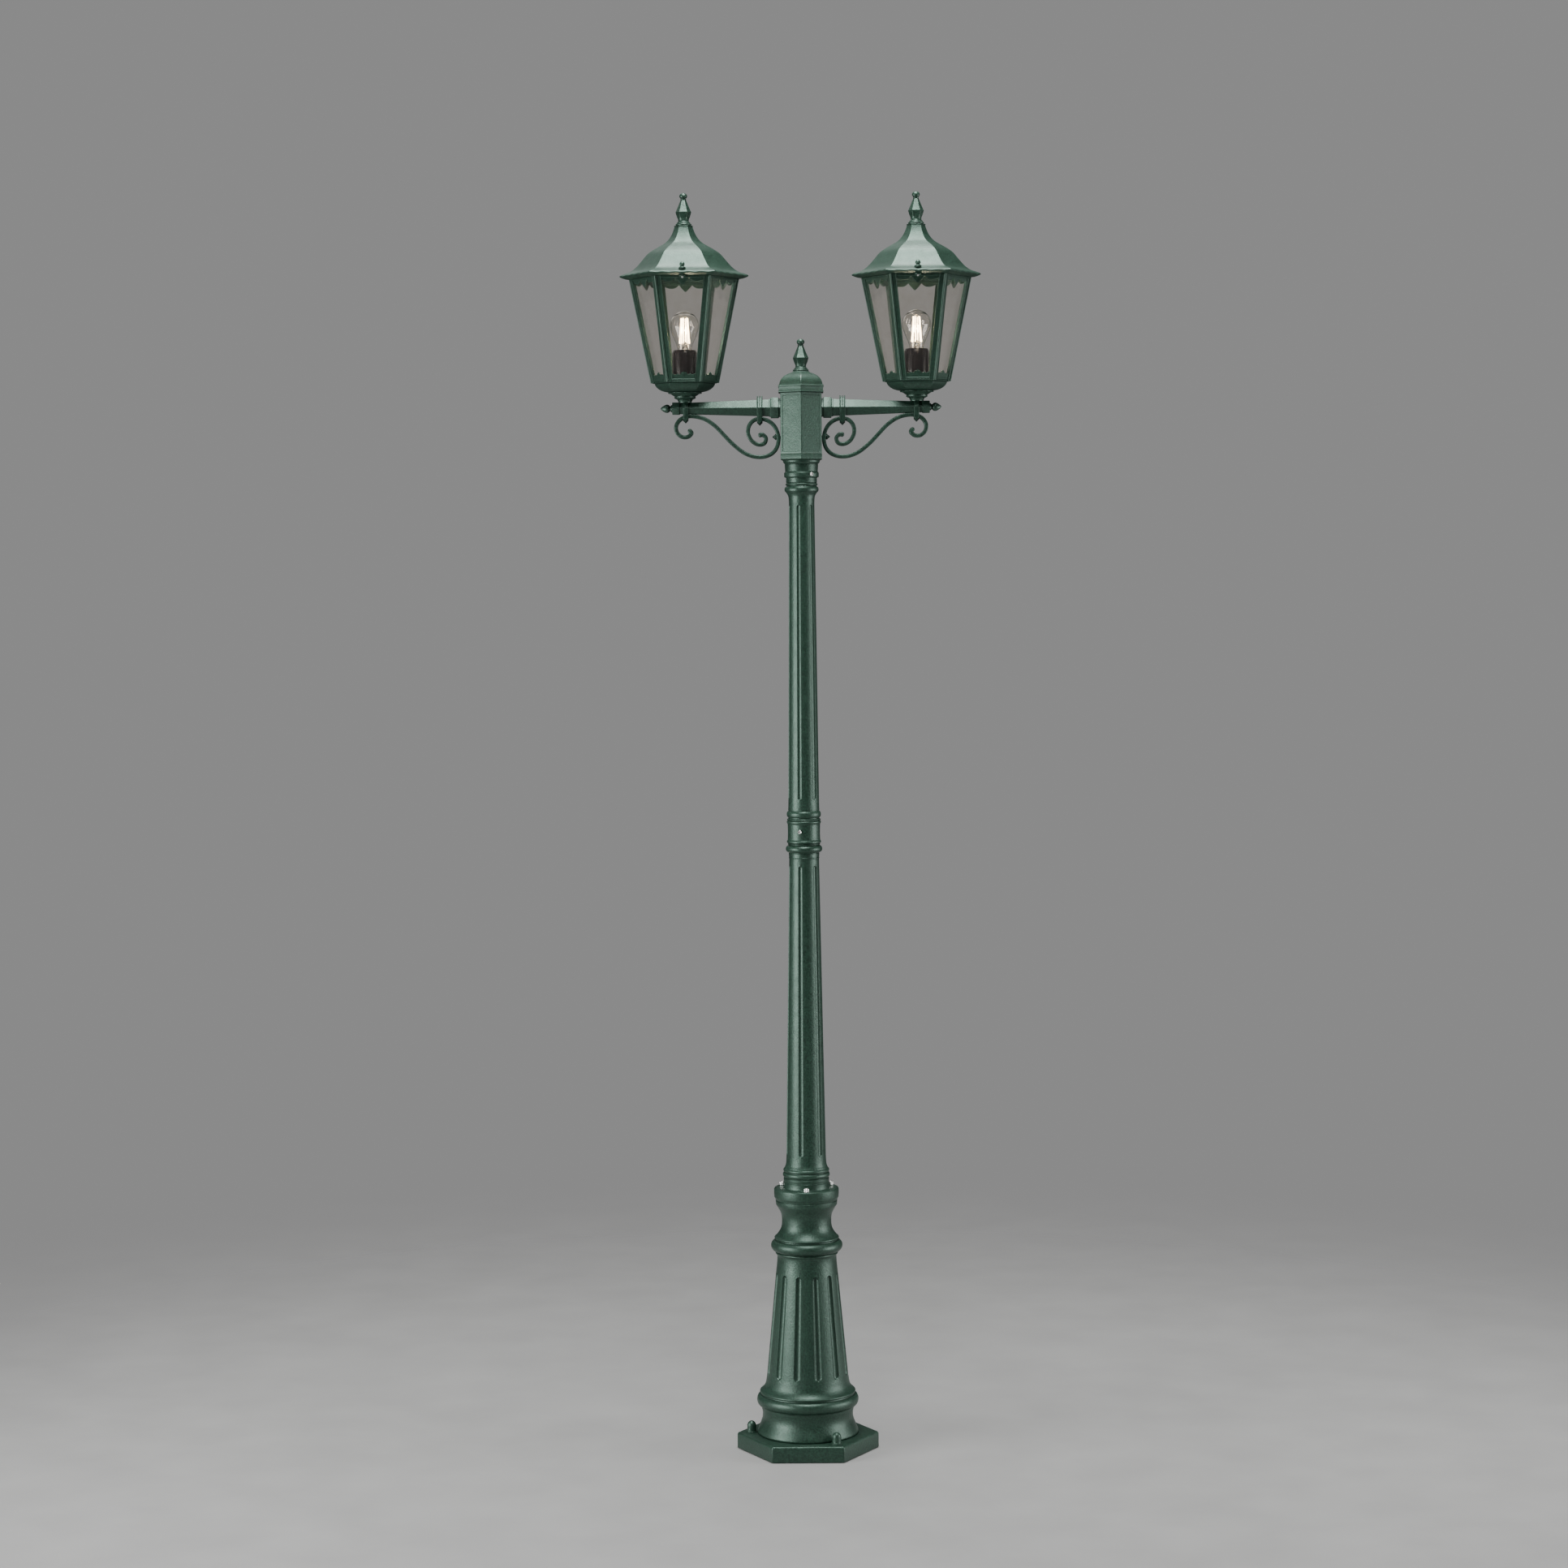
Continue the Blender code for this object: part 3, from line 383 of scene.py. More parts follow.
class Surface:
    """A Principled material with object-space noises for its colour, roughness and bump."""

    def __init__(self, name, color, roughness, **settings):
        self.material = bpy.data.materials.new(name)
        self.material.use_nodes = True
        self.tree = self.material.node_tree
        self.shader = self.tree.nodes["Principled BSDF"]
        self.set(self.shader, Base_Color=(*color, 1.0), Roughness=roughness, **settings)
        self.place = self.tree.nodes.new("ShaderNodeTexCoord").outputs["Object"]
        self.normal = None

    def set(self, node, **inputs):
        """Links a node's inputs to sockets, or sets them to plain values."""
        for name, value in inputs.items():
            socket = node.inputs[name.replace("_", " ")]
            if isinstance(value, bpy.types.NodeSocket):
                self.tree.links.new(value, socket)
            else:
                socket.default_value = value

    def node(self, kind, **inputs):
        """A new node with its inputs."""
        node = self.tree.nodes.new("ShaderNode" + kind)
        self.set(node, **inputs)
        return node

    def noise(self, scale, detail=2.0, stretch=None):
        """A noise over the object, in cycles a metre."""
        source = self.place
        if stretch:
            source = self.node("Mapping", Scale=stretch, Vector=source).outputs["Vector"]
        return self.node("TexNoise", Scale=scale, Detail=detail, Vector=source).outputs["Fac"]

    def cells(self, scale):
        """Distance to the nearest of scattered points."""
        return self.node("TexVoronoi", Scale=scale, Vector=self.place).outputs["Distance"]

    def ramp(self, value, *stops):
        """A value turned into a colour or a grey by stops of (place, colour)."""
        node = self.node("ValToRGB", Fac=value)
        elements = node.color_ramp.elements
        for element, (position, color) in zip(elements, stops):
            element.position = position
            element.color = (*color, 1.0) if len(color) == 3 else (color[0],) * 3 + (1.0,)
        return node.outputs["Color"]

    def multiplied(self, first, second):
        """The product of two colours."""
        node = self.node("Mix", Factor=1.0)
        node.data_type = "RGBA"
        node.blend_type = "MULTIPLY"
        self.tree.links.new(first, node.inputs[6])
        self.tree.links.new(second, node.inputs[7])
        return node.outputs[2]

    def bump(self, height, distance, strength):
        """Adds relief of a real depth in metres."""
        node = self.node("Bump", Distance=distance, Strength=strength, Height=height)
        if self.normal is not None:
            self.set(node, Normal=self.normal)
        self.normal = node.outputs["Normal"]
        self.set(self.shader, Normal=self.normal)

    def vary_color(self, value, dark, light, low=0.3, high=0.7):
        """Links the base colour to a value between two colours."""
        self.set(self.shader, Base_Color=self.ramp(value, (low, dark), (high, light)))

    def vary_roughness(self, value, low, high):
        """Links the roughness to a value between two limits."""
        self.set(self.shader, Roughness=self.ramp(value, (0.3, (low,)), (0.7, (high,))))


def powder_coat():
    """Dark green fine-structure powder coat: grainy, with a faint mottle."""
    surface = Surface("green_powder_coat", (0.0095, 0.026, 0.017), 0.42, Specular_IOR_Level=0.65,
                      Specular_Tint=(0.70, 1.0, 0.85, 1.0))
    mottle = surface.ramp(surface.noise(7.0, 5.0), (0.3, (0.0085, 0.0235, 0.0155)),
                          (0.7, (0.0105, 0.0285, 0.0185)))
    specks = surface.ramp(surface.noise(320.0, 3.0), (0.32, (0.5,)), (0.70, (1.6,)))
    surface.set(surface.shader, Base_Color=surface.multiplied(mottle, specks))
    surface.vary_roughness(surface.noise(60.0, 4.0), 0.38, 0.46)
    surface.bump(surface.noise(320.0, 2.0), 0.00060, 0.5)
    surface.bump(surface.noise(1200.0, 2.0), 0.00012, 0.5)
    return surface.material


def stainless():
    """Bright turned stainless steel."""
    surface = Surface("stainless_steel", (0.80, 0.80, 0.78), 0.3, Metallic=1.0)
    lines = surface.noise(2600.0, 3.0, stretch=(1.0, 1.0, 0.12))
    surface.vary_color(lines, (0.74, 0.74, 0.72), (0.86, 0.86, 0.84))
    surface.vary_roughness(surface.noise(500.0, 3.0), 0.28, 0.42)
    surface.bump(lines, 0.00002, 0.4)
    return surface.material


def stained_metal(name, color, dark, light, shine, scale, grain):
    """The bulb cap's nickel or the contact's brass, with stains that also dull it."""
    surface = Surface(name, color, sum(shine) / 2, Metallic=1.0)
    stains = surface.noise(scale, 4.0)
    surface.vary_color(stains, dark, light)
    surface.vary_roughness(stains, *shine)
    surface.bump(surface.noise(grain, 2.0), 0.00003, 0.4)
    return surface.material


def pane_glass():
    """Drawn lantern glass: a warm tint, slow waves and small seeds."""
    surface = Surface("lantern_glass", (0.99, 0.96, 0.92), 0.02, Transmission_Weight=1.0, IOR=1.45)
    surface.vary_color(surface.noise(75.0, 4.0), (0.96, 0.925, 0.88), (1.0, 0.975, 0.94))
    surface.vary_roughness(surface.noise(120.0, 3.0), 0.01, 0.04)
    surface.bump(surface.noise(38.0, 1.0), 0.0003, 0.15)
    surface.bump(surface.ramp(surface.cells(190.0), (0.05, (1.0,)), (0.12, (0.0,))), 0.0001, 0.2)
    return surface.material


def bulb_glass():
    """Clear blown glass with very slight waves."""
    surface = Surface("bulb_glass", (1.0, 0.985, 0.96), 0.02, Transmission_Weight=1.0, IOR=1.45)
    surface.vary_color(surface.noise(60.0, 2.0), (0.975, 0.96, 0.93), (1.0, 0.99, 0.97))
    surface.bump(surface.noise(90.0, 2.0), 0.0006, 0.3)
    return surface.material


def lit_phosphor():
    """A filament's warm light, a little uneven along its length."""
    surface = Surface("filament_phosphor", (1.0, 0.82, 0.50), 0.5, Emission_Strength=40.0)
    glow = surface.ramp(surface.noise(420.0, 2.0), (0.3, (1.0, 0.72, 0.42)),
                        (0.7, (1.0, 0.86, 0.62)))
    surface.set(surface.shader, Emission_Color=glow)
    surface.bump(surface.noise(1200.0, 2.0), 0.0001, 0.5)
    return surface.material


def holder_plastic():
    """Glossy black moulded lamp holder."""
    surface = Surface("holder_plastic", (0.006, 0.005, 0.005), 0.15, Specular_IOR_Level=0.35)
    surface.vary_color(surface.noise(90.0, 6.0), (0.005, 0.004, 0.004), (0.010, 0.008, 0.008),
                       0.35, 0.75)
    surface.vary_roughness(surface.noise(900.0, 2.0), 0.13, 0.18)
    surface.bump(surface.noise(900.0, 2.0), 0.00001, 0.2)
    return surface.material


def soft_plastic(name, color, lift):
    """Matt moulded plastic or cable sleeve with a fine spark-eroded grain."""
    surface = Surface(name, color, 0.5)
    grain = surface.noise(1400.0, 3.0)
    light = tuple(min(channel * lift, 1.0) for channel in color)
    surface.vary_color(surface.noise(50.0, 4.0), color, light)
    surface.vary_roughness(grain, 0.42, 0.62)
    surface.bump(grain, 0.00005, 0.5)
    return surface.material


PAINT = (powder_coat(), "green_powder_coat")
STEEL = (stainless(), "stainless_steel")
NICKEL = (stained_metal("bulb_cap_metal", (0.68, 0.67, 0.63), (0.58, 0.57, 0.53),
                        (0.74, 0.73, 0.70), (0.18, 0.32), 140.0, 900.0), "bulb_cap_metal")
BRASS = (stained_metal("contact_brass", (0.72, 0.53, 0.24), (0.60, 0.42, 0.18),
                       (0.80, 0.61, 0.30), (0.2, 0.4), 500.0, 1600.0), "contact_brass")
PANE = (pane_glass(), "lantern_glass")
BULB = (bulb_glass(), "bulb_glass")
PHOSPHOR = (lit_phosphor(), "filament_phosphor")
HOLDER = (holder_plastic(), "holder_plastic")
SLEEVE = soft_plastic("cable_sleeve", (0.014, 0.014, 0.014), 1.8)
TERMINAL = soft_plastic("terminal_plastic", (0.74, 0.73, 0.69), 1.1)
CONNECTOR = soft_plastic("connector_plastic", (0.016, 0.016, 0.018), 1.7)


# The post.

def make_pedestal():
    """Foot plate, foot, fluted cone, neck and cup in one hollow casting."""
    flutes = Flutes(12, 15.0, 140.0, 332.0, 7.3, 6.0, 4.2)
    land = flutes.INSIDE + flutes.BETWEEN
    count = flutes.count * land
    reach = flutes.BETWEEN // 2

    def plate_ring(corner, z, rounding=3.0):
        """A hexagon whose rounded corners take the points of every second land."""
        first = land + flutes.INSIDE + reach
        spread = corner - rounding * (WIDE - 1.0) - rounding
        points = []
        for index in range(count):
            number, offset = divmod(index - first + land, 2 * land)
            offset -= land
            middle = 60.0 * (number + 1)
            if abs(offset) <= reach:
                centre = polar(spread, middle, z)
                points.append(centre + polar(rounding, middle + 30.0 * offset / reach))
                continue
            if offset < 0:
                middle -= 60.0
                offset += 2 * land
            start = polar(spread, middle, z) + polar(rounding, middle + 30.0)
            end = polar(spread, middle + 60.0, z) + polar(rounding, middle + 30.0)
            points.append(start.lerp(end, (offset - reach) / (2 * (land - reach))))
        return points

    rings = [plate_ring(FOOT_CORNER - inset, z)
             for inset, z in ((2.0, 0.0), (0.6, 0.8), (0.0, 2.2), (0.0, 25.8), (0.7, 28.0),
                              (2.3, 29.5), (4.6, 30.0))]
    foot = curve([(91.8, 30.0), (93.6, 31.6), (93.8, 34.4), (91.6, 40.5), (87.9, 49.0),
                  (85.0, 57.0), (84.0, 64.0), (84.4, 71.0), (85.8, 77.5)], 5)
    foot += eased([(85.8, 81.0), (86.4, 82.0)] + bead(87.0, 82.5, 103.6, 7.5, 16)
                  + [(87.4, 104.6), (87.2, 105.6)] + bead(87.0, 106.2, 111.0, 1.9, 8), 0.5)
    foot += curve([(85.6, 112.0), (82.4, 115.6), (79.4, 120.6), (77.5, 127.0), (76.4, 134.0)], 5)
    rings += flutes.plain(foot)
    rings += flutes.rings(between(134.0, 351.0, 76.0, 55.6), 14)
    waist = [(55.9, 345.0), (55.2, 354.0), (54.8, 361.0), (55.2, 364.4)]
    waist += eased([(55.6, 365.4)] + bead(56.2, 366.0, 370.4, 1.8, 8)
                   + [(56.4, 371.2)] + bead(57.5, 371.8, 392.2, 8.8, 16)
                   + [(58.6, 393.2), (58.4, 394.2)] + bead(58.0, 394.8, 399.0, 1.8, 8), 0.5)
    waist += curve([(56.8, 400.2), (52.6, 405.4), (48.8, 411.6), (46.4, 419.0), (45.8, 428.0),
                    (46.2, 437.0), (48.6, 445.0), (52.6, 452.4), (55.4, 457.0)], 5)
    waist += eased([(55.6, 458.4), (56.6, 458.6), (57.2, 466.0), (56.2, 467.0), (56.3, 468.0),
                    (57.7, 468.6), (58.4, 472.0), (59.6, 472.6), (60.1, 480.0),
                    (60.0, CUP_RIM - 2.0), (58.9, CUP_RIM), (57.8, CUP_RIM),
                    (57.7, CUP_RIM - 0.8)], 0.6)
    rings += flutes.plain(waist)
    rings += flutes.plain([(57.7, CUP_FLOOR - 0.3), (28.0, CUP_FLOOR - 0.3), (28.0, 444.0),
                           (42.0, 410.0), (62.0, 128.0), (62.0, 0.0)])
    add_piece("pedestal_casting", [skin(rings, closed=True)], ["pedestal"])


def make_anchor_nuts():
    """Domed nuts on washers, on the studs of the foundation."""
    nut = eased([(0.0, -28.0), (5.0, -28.0), (5.0, 0.2), (10.6, 0.2), (10.6, 1.8), (8.3, 1.9),
                 (8.3, 11.6)], 0.5)
    nut += dome(8.3, NUT_HEIGHT - 9.1, 9.1, (8, 20, 32, 44, 56, 68, 80, 90))
    for index in (1, 2, 3):
        node = "anchor_cap_nut_%d" % index
        place = (*middle(node).xy, NUT_SEAT)
        add_piece(node + "_dome", [shifted(turned(nut, 32), *place)], [node])


def cap_screw(shank, head_r, head, sides=40):
    """A socket cap screw with a knurled rim, its head standing on z 0."""
    profile = [(0.0, -shank), (2.0, -shank), (2.0, 0.2), (head_r - 0.3, 0.2), (head_r, 0.6),
               (head_r, head - 0.9), (head_r - 0.7, head), (2.6, head), (2.4, head - 0.3),
               (2.4, head - 2.2), (0.0, head - 2.6)]
    rings = []
    for radius, z in profile:
        grip = 0.16 if radius == head_r else 0.0
        rings.append([at_turn(radius + grip * (-1) ** side, math.tau * side / sides, z)
                      for side in range(sides)])
    return skin(rings)


def make_post_screws():
    """The bright screws of the cup, the joint collar and the head's neck."""
    for index in (1, 2, 3):
        node = "pedestal_screw_%d" % index
        screw = shifted(cap_screw(18.0, 4.5, 7.0), *middle(node).xy, CUP_RIM)
        add_piece(node + "_cap_screw", [screw], [node], finish=STEEL)
    for node, angle, seat, *sizes in (("collar_screw", -104.5, 29.9, 8.6, 3.5, 3.4),
                                      ("neck_screw", -56.0, 31.9, 9.2, 3.3, 3.2)):
        place = polar(seat, angle, middle(node).z)
        screw = pointed(cap_screw(*sizes, 32), place, polar(1.0, angle))
        add_piece(node + "_cap_screw", [screw], [node], finish=STEEL)


def make_lower_shaft():
    """Tapered tube with six flutes, its beads and its flange in the cup."""
    flutes = Flutes(6, 15.0, 551.0, 1089.5, 4.9, 4.1, 2.1)
    foot = eased([(57.4, CUP_FLOOR - CUP_RIM), (57.4, -0.5), (56.8, -0.1), (42.7, -0.1),
                  (42.3, 0.9), (41.7, 4.5), (41.6, 10.6), (42.1, 11.2), (41.5, 12.0),
                  (42.0, 14.0), (42.2, 18.0), (41.2, 19.6)], 0.5)
    foot += eased([(40.8, 20.4)] + bead(40.9, 20.6, 29.4, 2.6) + [(40.6, 30.0)]
                  + bead(40.5, 30.4, 36.6, 2.1, 8) + [(40.2, 37.2), (39.8, 38.4)], 0.4)
    foot += curve([(39.4, 39.6), (38.2, 42.4), (37.3, 47.0), (36.8, 53.6)], 5)
    neck = eased([(27.7, 1094.0 - COLLAR_LOW), (27.5, -29.0), (28.2, -28.2), (28.2, -27.2),
                  (27.7, -26.4), (28.3, -19.6), (27.7, -18.4)] + bead(27.9, -17.4, -4.6, 5.8, 14)
                 + [(28.0, -4.2)] + bead(28.6, -3.8, -1.2, 1.3, 6)
                 + [(28.8, -0.8), (28.6, -0.3), (21.0, -0.3)], 0.4)
    rings = flutes.plain(foot, CUP_RIM)
    rings += flutes.rings(between(543.2, 1098.0, 36.6, 27.6), 16)
    rings += flutes.plain(neck, COLLAR_LOW)
    rings += flutes.plain([(21.0, 1070.0), (26.0, 1060.0), (26.0, CUP_FLOOR)])
    add_piece("lower_shaft_tube", [skin(rings, closed=True)], ["lower_shaft"])


def make_joint_collar():
    """Waisted sleeve over the joint of the two tubes."""
    length = COLLAR_HIGH - COLLAR_LOW
    rim = eased([(21.5, 0.0), (30.6, 0.0), (31.5, 1.0), (31.5, 3.2), (30.2, 5.2)], 0.5)
    waist = curve([(29.9, 7.0), (29.6, length / 2), (29.9, length - 7.0)], 6)
    profile = rim + waist + [(radius, length - z) for radius, z in rim[::-1]]
    sleeve = shifted(turned(profile, 72, closed=True), z=COLLAR_LOW)
    add_piece("joint_collar_sleeve", [sleeve], ["joint_collar"])


def make_upper_shaft():
    """Slimmer fluted tube with its spigot, its flare and the tenon for the head."""
    flutes = Flutes(6, 15.0, 1211.0, 1751.5, 4.2, 3.7, 1.9)
    spigot = 1080.0 - COLLAR_HIGH
    foot = eased([(16.0, spigot), (20.7, spigot), (20.7, 0.3), (28.8, 0.3)]
                 + bead(28.8, 0.5, 4.0, 2.2, 8) + [(28.6, 5.2)] + bead(28.4, 6.2, 18.0, 3.1, 12)
                 + [(28.4, 18.8), (28.8, 20.0)], 0.4)
    foot += curve([(28.7, 22.0), (28.45, 28.0), (28.35, 33.0)], 4)
    top = curve([(23.4, -36.0), (23.7, -29.0), (24.6, -24.0), (26.4, -20.0), (28.2, -17.6)], 4)
    top += eased([(28.4, -17.2), (29.0, -16.8)] + bead(28.8, -16.4, -7.0, 2.5)
                 + [(28.2, -6.2), (27.6, -5.0)] + bead(27.6, -4.4, -0.6, 1.9, 8)
                 + [(27.8, 0.0), (22.0, 0.0)], 0.4)
    rings = flutes.plain(foot, COLLAR_HIGH)
    rings += flutes.rings(between(1205.0, 1760.0, 28.3, 23.3), 16)
    rings += flutes.plain(top, HEAD_LOW - 0.3)
    rings += flutes.plain([(22.0, 0.0), (16.0, 0.0)], highest("upper_shaft").z)
    add_piece("upper_shaft_tube", [skin(rings, closed=True)], ["upper_shaft"])


# The head.

def panel_ring(apothem, z, sunk, rounding=0.9):
    """A hexagon whose sides are sunk between two borders."""
    fractions = (0.085, 0.10, 0.5, 0.90, 0.915)
    points = hexagon(apothem, z, rounding, HEAD_TURN)
    for corner in range(6):
        first = corner * SEXTANT + CORNER_STEPS
        start = points[first]
        end = points[(first + SIDE_STEPS) % len(points)]
        inward = -((start + end) / 2 - Vector((0.0, 0.0, z))).normalized()
        for step, share in enumerate(fractions, 1):
            depth = sunk if share in (0.10, 0.5, 0.90) else 0.0
            points[first + step] = start.lerp(end, share) + inward * depth
    return points


def make_head():
    """Neck, mouldings and hexagonal box with a sunk panel in each face."""
    neck = eased([(22.9, 0.0), (27.6, 0.0), (28.4, 0.8), (28.2, 8.8), (29.6, 9.8), (31.0, 10.2),
                  (31.7, 11.2), (31.8, 17.6), (31.2, 19.0), (30.2, 19.6), (29.9, 21.0),
                  (30.6, 33.0), (30.2, 34.4), (31.6, 35.2), (33.4, 37.6), (34.0, 40.4)], 0.6)
    rings = mixed(neck, HEAD_LOW, turn=HEAD_TURN)
    for apothem, rise in ((35.8, 0.1), (37.2, 0.5), (37.9, 1.4), (38.0, 9.0), (37.8, 9.8),
                          (37.3, 10.3)):
        rings.append(panel_ring(apothem, HEAD_FLAT + rise, 0.0))
    depth, wall = 0.75, HEAD_TOP - HEAD_FLAT
    for apothem, rise, sunk in ((37.7, 11.0, 0.0), (37.7, 14.0, 0.0), (37.7, 14.6, depth),
                                (37.7, 50.0, depth), (37.7, wall - 5.6, depth),
                                (37.7, wall - 5.0, 0.0), (37.7, wall - 0.4, 0.0),
                                (37.3, wall, 0.0), (32.5, wall, 0.0), (32.5, 5.0, 0.0)):
        rings.append(panel_ring(apothem, HEAD_FLAT + rise, sunk))
    rings += mixed([(22.9, 5.0)], HEAD_FLAT, turn=HEAD_TURN)
    add_piece("head_box", [skin(rings, closed=True)], ["head_housing"])


def make_head_cap():
    """Hexagonal lid: a banded eave under a swept dome."""
    eave = eased([(32.1, -8.0), (32.1, 0.0), (40.2, 0.0), (41.2, 1.0), (41.2, 2.6), (40.4, 3.2),
                  (40.4, 9.8), (41.5, 10.6), (41.5, 13.0), (40.6, 14.0), (39.6, 14.2)], 0.4)
    roof = curve([(39.4, 15.4), (38.6, 19.0), (36.6, 23.4), (33.6, 27.4), (29.0, 31.4),
                  (23.6, 34.4), (17.0, 37.0)], 4)
    rows = [(apothem, z, 0.8) for apothem, z in eave]
    rows += [(apothem, z, 0.8 + 0.30 * (39.4 - apothem)) for apothem, z in roof]
    top = CAP_TOP - CAP_SEAT
    rows += [(15.4, top - 0.6), (14.6, top), (2.4, top), (2.4, top - 3.4)]
    rows += [(apothem, z, 0.8) for apothem, z in ((10.0, 36.0), (18.0, 32.5), (28.0, 27.0),
                                                  (29.5, 19.0), (29.5, -8.0))]
    rings = mixed(rows, CAP_SEAT, turn=HEAD_TURN)
    add_piece("head_lid", [skin(rings, closed=True)], ["head_cap"])


def finial_shell():
    """Spindle with six facets between a turned foot and a ball, standing on z 0."""
    rows = [(2.0, -8.0), (2.0, 0.2)]
    rows += eased([(13.4, 0.2), (14.3, 0.8), (14.6, 1.8), (14.0, 3.0), (12.2, 3.9), (12.6, 4.6),
                   (11.6, 5.8), (10.2, 6.8), (9.7, 8.6), (9.9, 11.0)], 0.4)
    rows += [(9.6, 12.6, 5.0), (10.2, 15.0, 1.2), (11.4, 19.5, 0.5), (12.3, 23.4, 0.4),
             (12.4, 24.4, 0.4), (11.9, 25.4, 0.4), (8.0, 35.8, 0.4), (4.7, 45.4, 0.5)]
    neck = FINIAL_HEIGHT - 13.4
    rows += [(4.5, neck + 0.4), (5.3, neck + 1.0), (5.5, neck + 1.7), (4.4, neck + 2.3)]
    rows += dome(7.2, FINIAL_HEIGHT - 5.8, 5.8, (-42, -28, -14, 0, 14, 28, 42, 56, 70, 82))
    return skin(mixed(rows + [(0.0, FINIAL_HEIGHT)]))


def make_head_finial():
    """Ornament on the head's lid."""
    add_piece("head_spindle", [shifted(finial_shell(), z=CAP_TOP)], ["head_finial"])


# The arms and their brackets.

def across(sign, points, x):
    """Level ring points stood up across the arm."""
    return [(sign * x, point[0], ARM_Z + point[1]) for point in points]


def make_arm(side, sign):
    """Tapered six-sided arm with its root block and its end block."""
    rings = [across(sign, round_match(radius, 0.0), x)
             for radius, x in ((3.9, 28.0), (6.0, 28.0), (6.0, 36.8))]
    rows = [(37.0, 16.4), (40.4, 16.4), (40.8, 18.0), (41.4, 18.5), (54.8, 18.5), (55.4, 18.2),
            (55.8, 16.2), (56.6, 15.9), (58.2, 15.9), (58.8, 15.0), (100.0, 13.7), (160.0, 11.85),
            (221.4, 9.9), (222.0, 10.7), (222.6, 11.1), (ARM_END - 1.0, 11.0),
            (ARM_END - 0.2, 10.6), (ARM_END, 9.8)]
    rings += [across(sign, hexagon(half, 0.0, 0.6), x) for x, half in rows]
    rings += [across(sign, round_match(radius, 0.0), x)
              for radius, x in ((3.3, ARM_END), (3.3, 222.0), (3.9, 216.0))]
    add_piece(side + "_arm_bar", [skin(rings, closed=True)], [side + "_arm"])


def make_arm_tip(side, sign):
    """Acorn that closes the arm's end."""
    profile = eased([(0.0, -11.0), (3.0, -11.0), (3.0, 0.2), (6.6, 0.2), (6.8, 1.2), (6.2, 2.2),
                     (5.0, 2.8), (4.8, 4.2), (5.4, 5.2)], 0.4)
    profile += curve([(6.4, 5.8), (7.4, 7.6), (7.7, 10.0), (7.0, 13.0), (5.0, 16.6), (2.4, 19.8),
                      (0.7, 21.2), (0.0, 21.5)], 4)
    tip = pointed(turned(profile, 36), (sign * ARM_END, 0.0, ARM_Z), (sign, 0.0, 0.0))
    add_piece(side + "_arm_acorn", [tip], [side + "_arm_tip"])


# Points (x, z) on the middle of the scroll's bar, from its inner curl to its outer one.
SCROLL_POINTS = [(78.5, 1878.3), (71.2, 1880.3), (64.6, 1874.4), (66.6, 1865.6),
                 (74.6, 1862.2), (84.6, 1864.8), (92.8, 1872.6), (97.2, 1884.5),
                 (94.8, 1897.5), (86.5, 1906.5), (75.0, 1909.4), (62.5, 1906.6),
                 (51.2, 1898.6), (43.9, 1886.0), (41.6, 1871.0), (44.6, 1857.0),
                 (52.6, 1846.8), (64.0, 1841.2), (77.0, 1839.6), (91.5, 1841.9),
                 (108.0, 1849.6), (127.0, 1865.2), (142.0, 1881.0), (158.0, 1897.4),
                 (177.0, 1909.9), (197.0, 1914.8), (211.0, 1913.6), (222.3, 1907.6),
                 (228.6, 1897.0), (227.0, 1885.4), (218.4, 1877.6), (207.6, 1877.4),
                 (201.0, 1884.2), (206.6, 1890.6)]
BAR_WIDTH = 16.0
BAR_THICKNESS = 7.2


def make_scroll(side, sign):
    """Forged flat bar that ends in two rounded curls."""
    path = [Vector((sign * x, 0.0, z)) for x, z in curve(SCROLL_POINTS, 7)]
    for pull in (0.5, -0.52) * 12:
        inner = [path[index].lerp((path[index - 1] + path[index + 1]) / 2.0, pull)
                 for index in range(1, len(path) - 1)]
        path = [path[0]] + inner + [path[-1]]
    outline = [(x, y) for x, y, _ in hexagon(1.0, 0.0, 0.999)]
    rings = []
    last = len(path) - 1
    for index, point in enumerate(path):
        forward = path[min(index + 1, last)] - path[max(index - 1, 0)]
        normal = forward.normalized().cross(Vector((0.0, 1.0, 0.0)))
        reach = min(index, last - index)
        swell = 1.0 + 0.16 * math.exp(-((reach - 5.0) / 4.0) ** 2)
        close = math.sqrt(max(0.02, 1.0 - (1.0 - min(reach / 3.0, 1.0)) ** 2))
        section = []
        for u, v in outline:
            thick = math.copysign(abs(u) ** 0.42, u) * BAR_THICKNESS / 2 * swell * close
            wide = math.copysign(abs(v) ** 0.30, v) * BAR_WIDTH / 2 * (0.7 + 0.3 * close)
            section.append(point + normal * thick + Vector((0.0, wide, 0.0)))
        rings.append(section)
    add_piece(side + "_scroll_bar", [skin(rings)], [side + "_scroll"], sharp=50.0)


def make_scroll_screw(side, sign):
    """Pointed screw that holds the scroll to the head."""
    profile = eased([(0.0, -12.0), (2.0, -12.0), (2.0, -0.6), (5.0, -0.6), (5.0, 0.9), (5.6, 1.4),
                     (5.4, 2.4), (3.6, 3.4), (2.0, 5.6), (0.8, 7.0), (0.0, 7.4)], 0.4)
    node = side + "_scroll_screw"
    seat = (sign * 45.4, 0.0, middle(node).z)
    screw = pointed(turned(profile, 32), seat, (sign, 0.0, 0.0))
    add_piece(side + "_scroll_stud", [screw], [node])


def arm_half(x):
    """Half of the arm's height at a distance from the post's axis."""
    return 14.85 - 5.35 * (x - 57.0) / 178.5


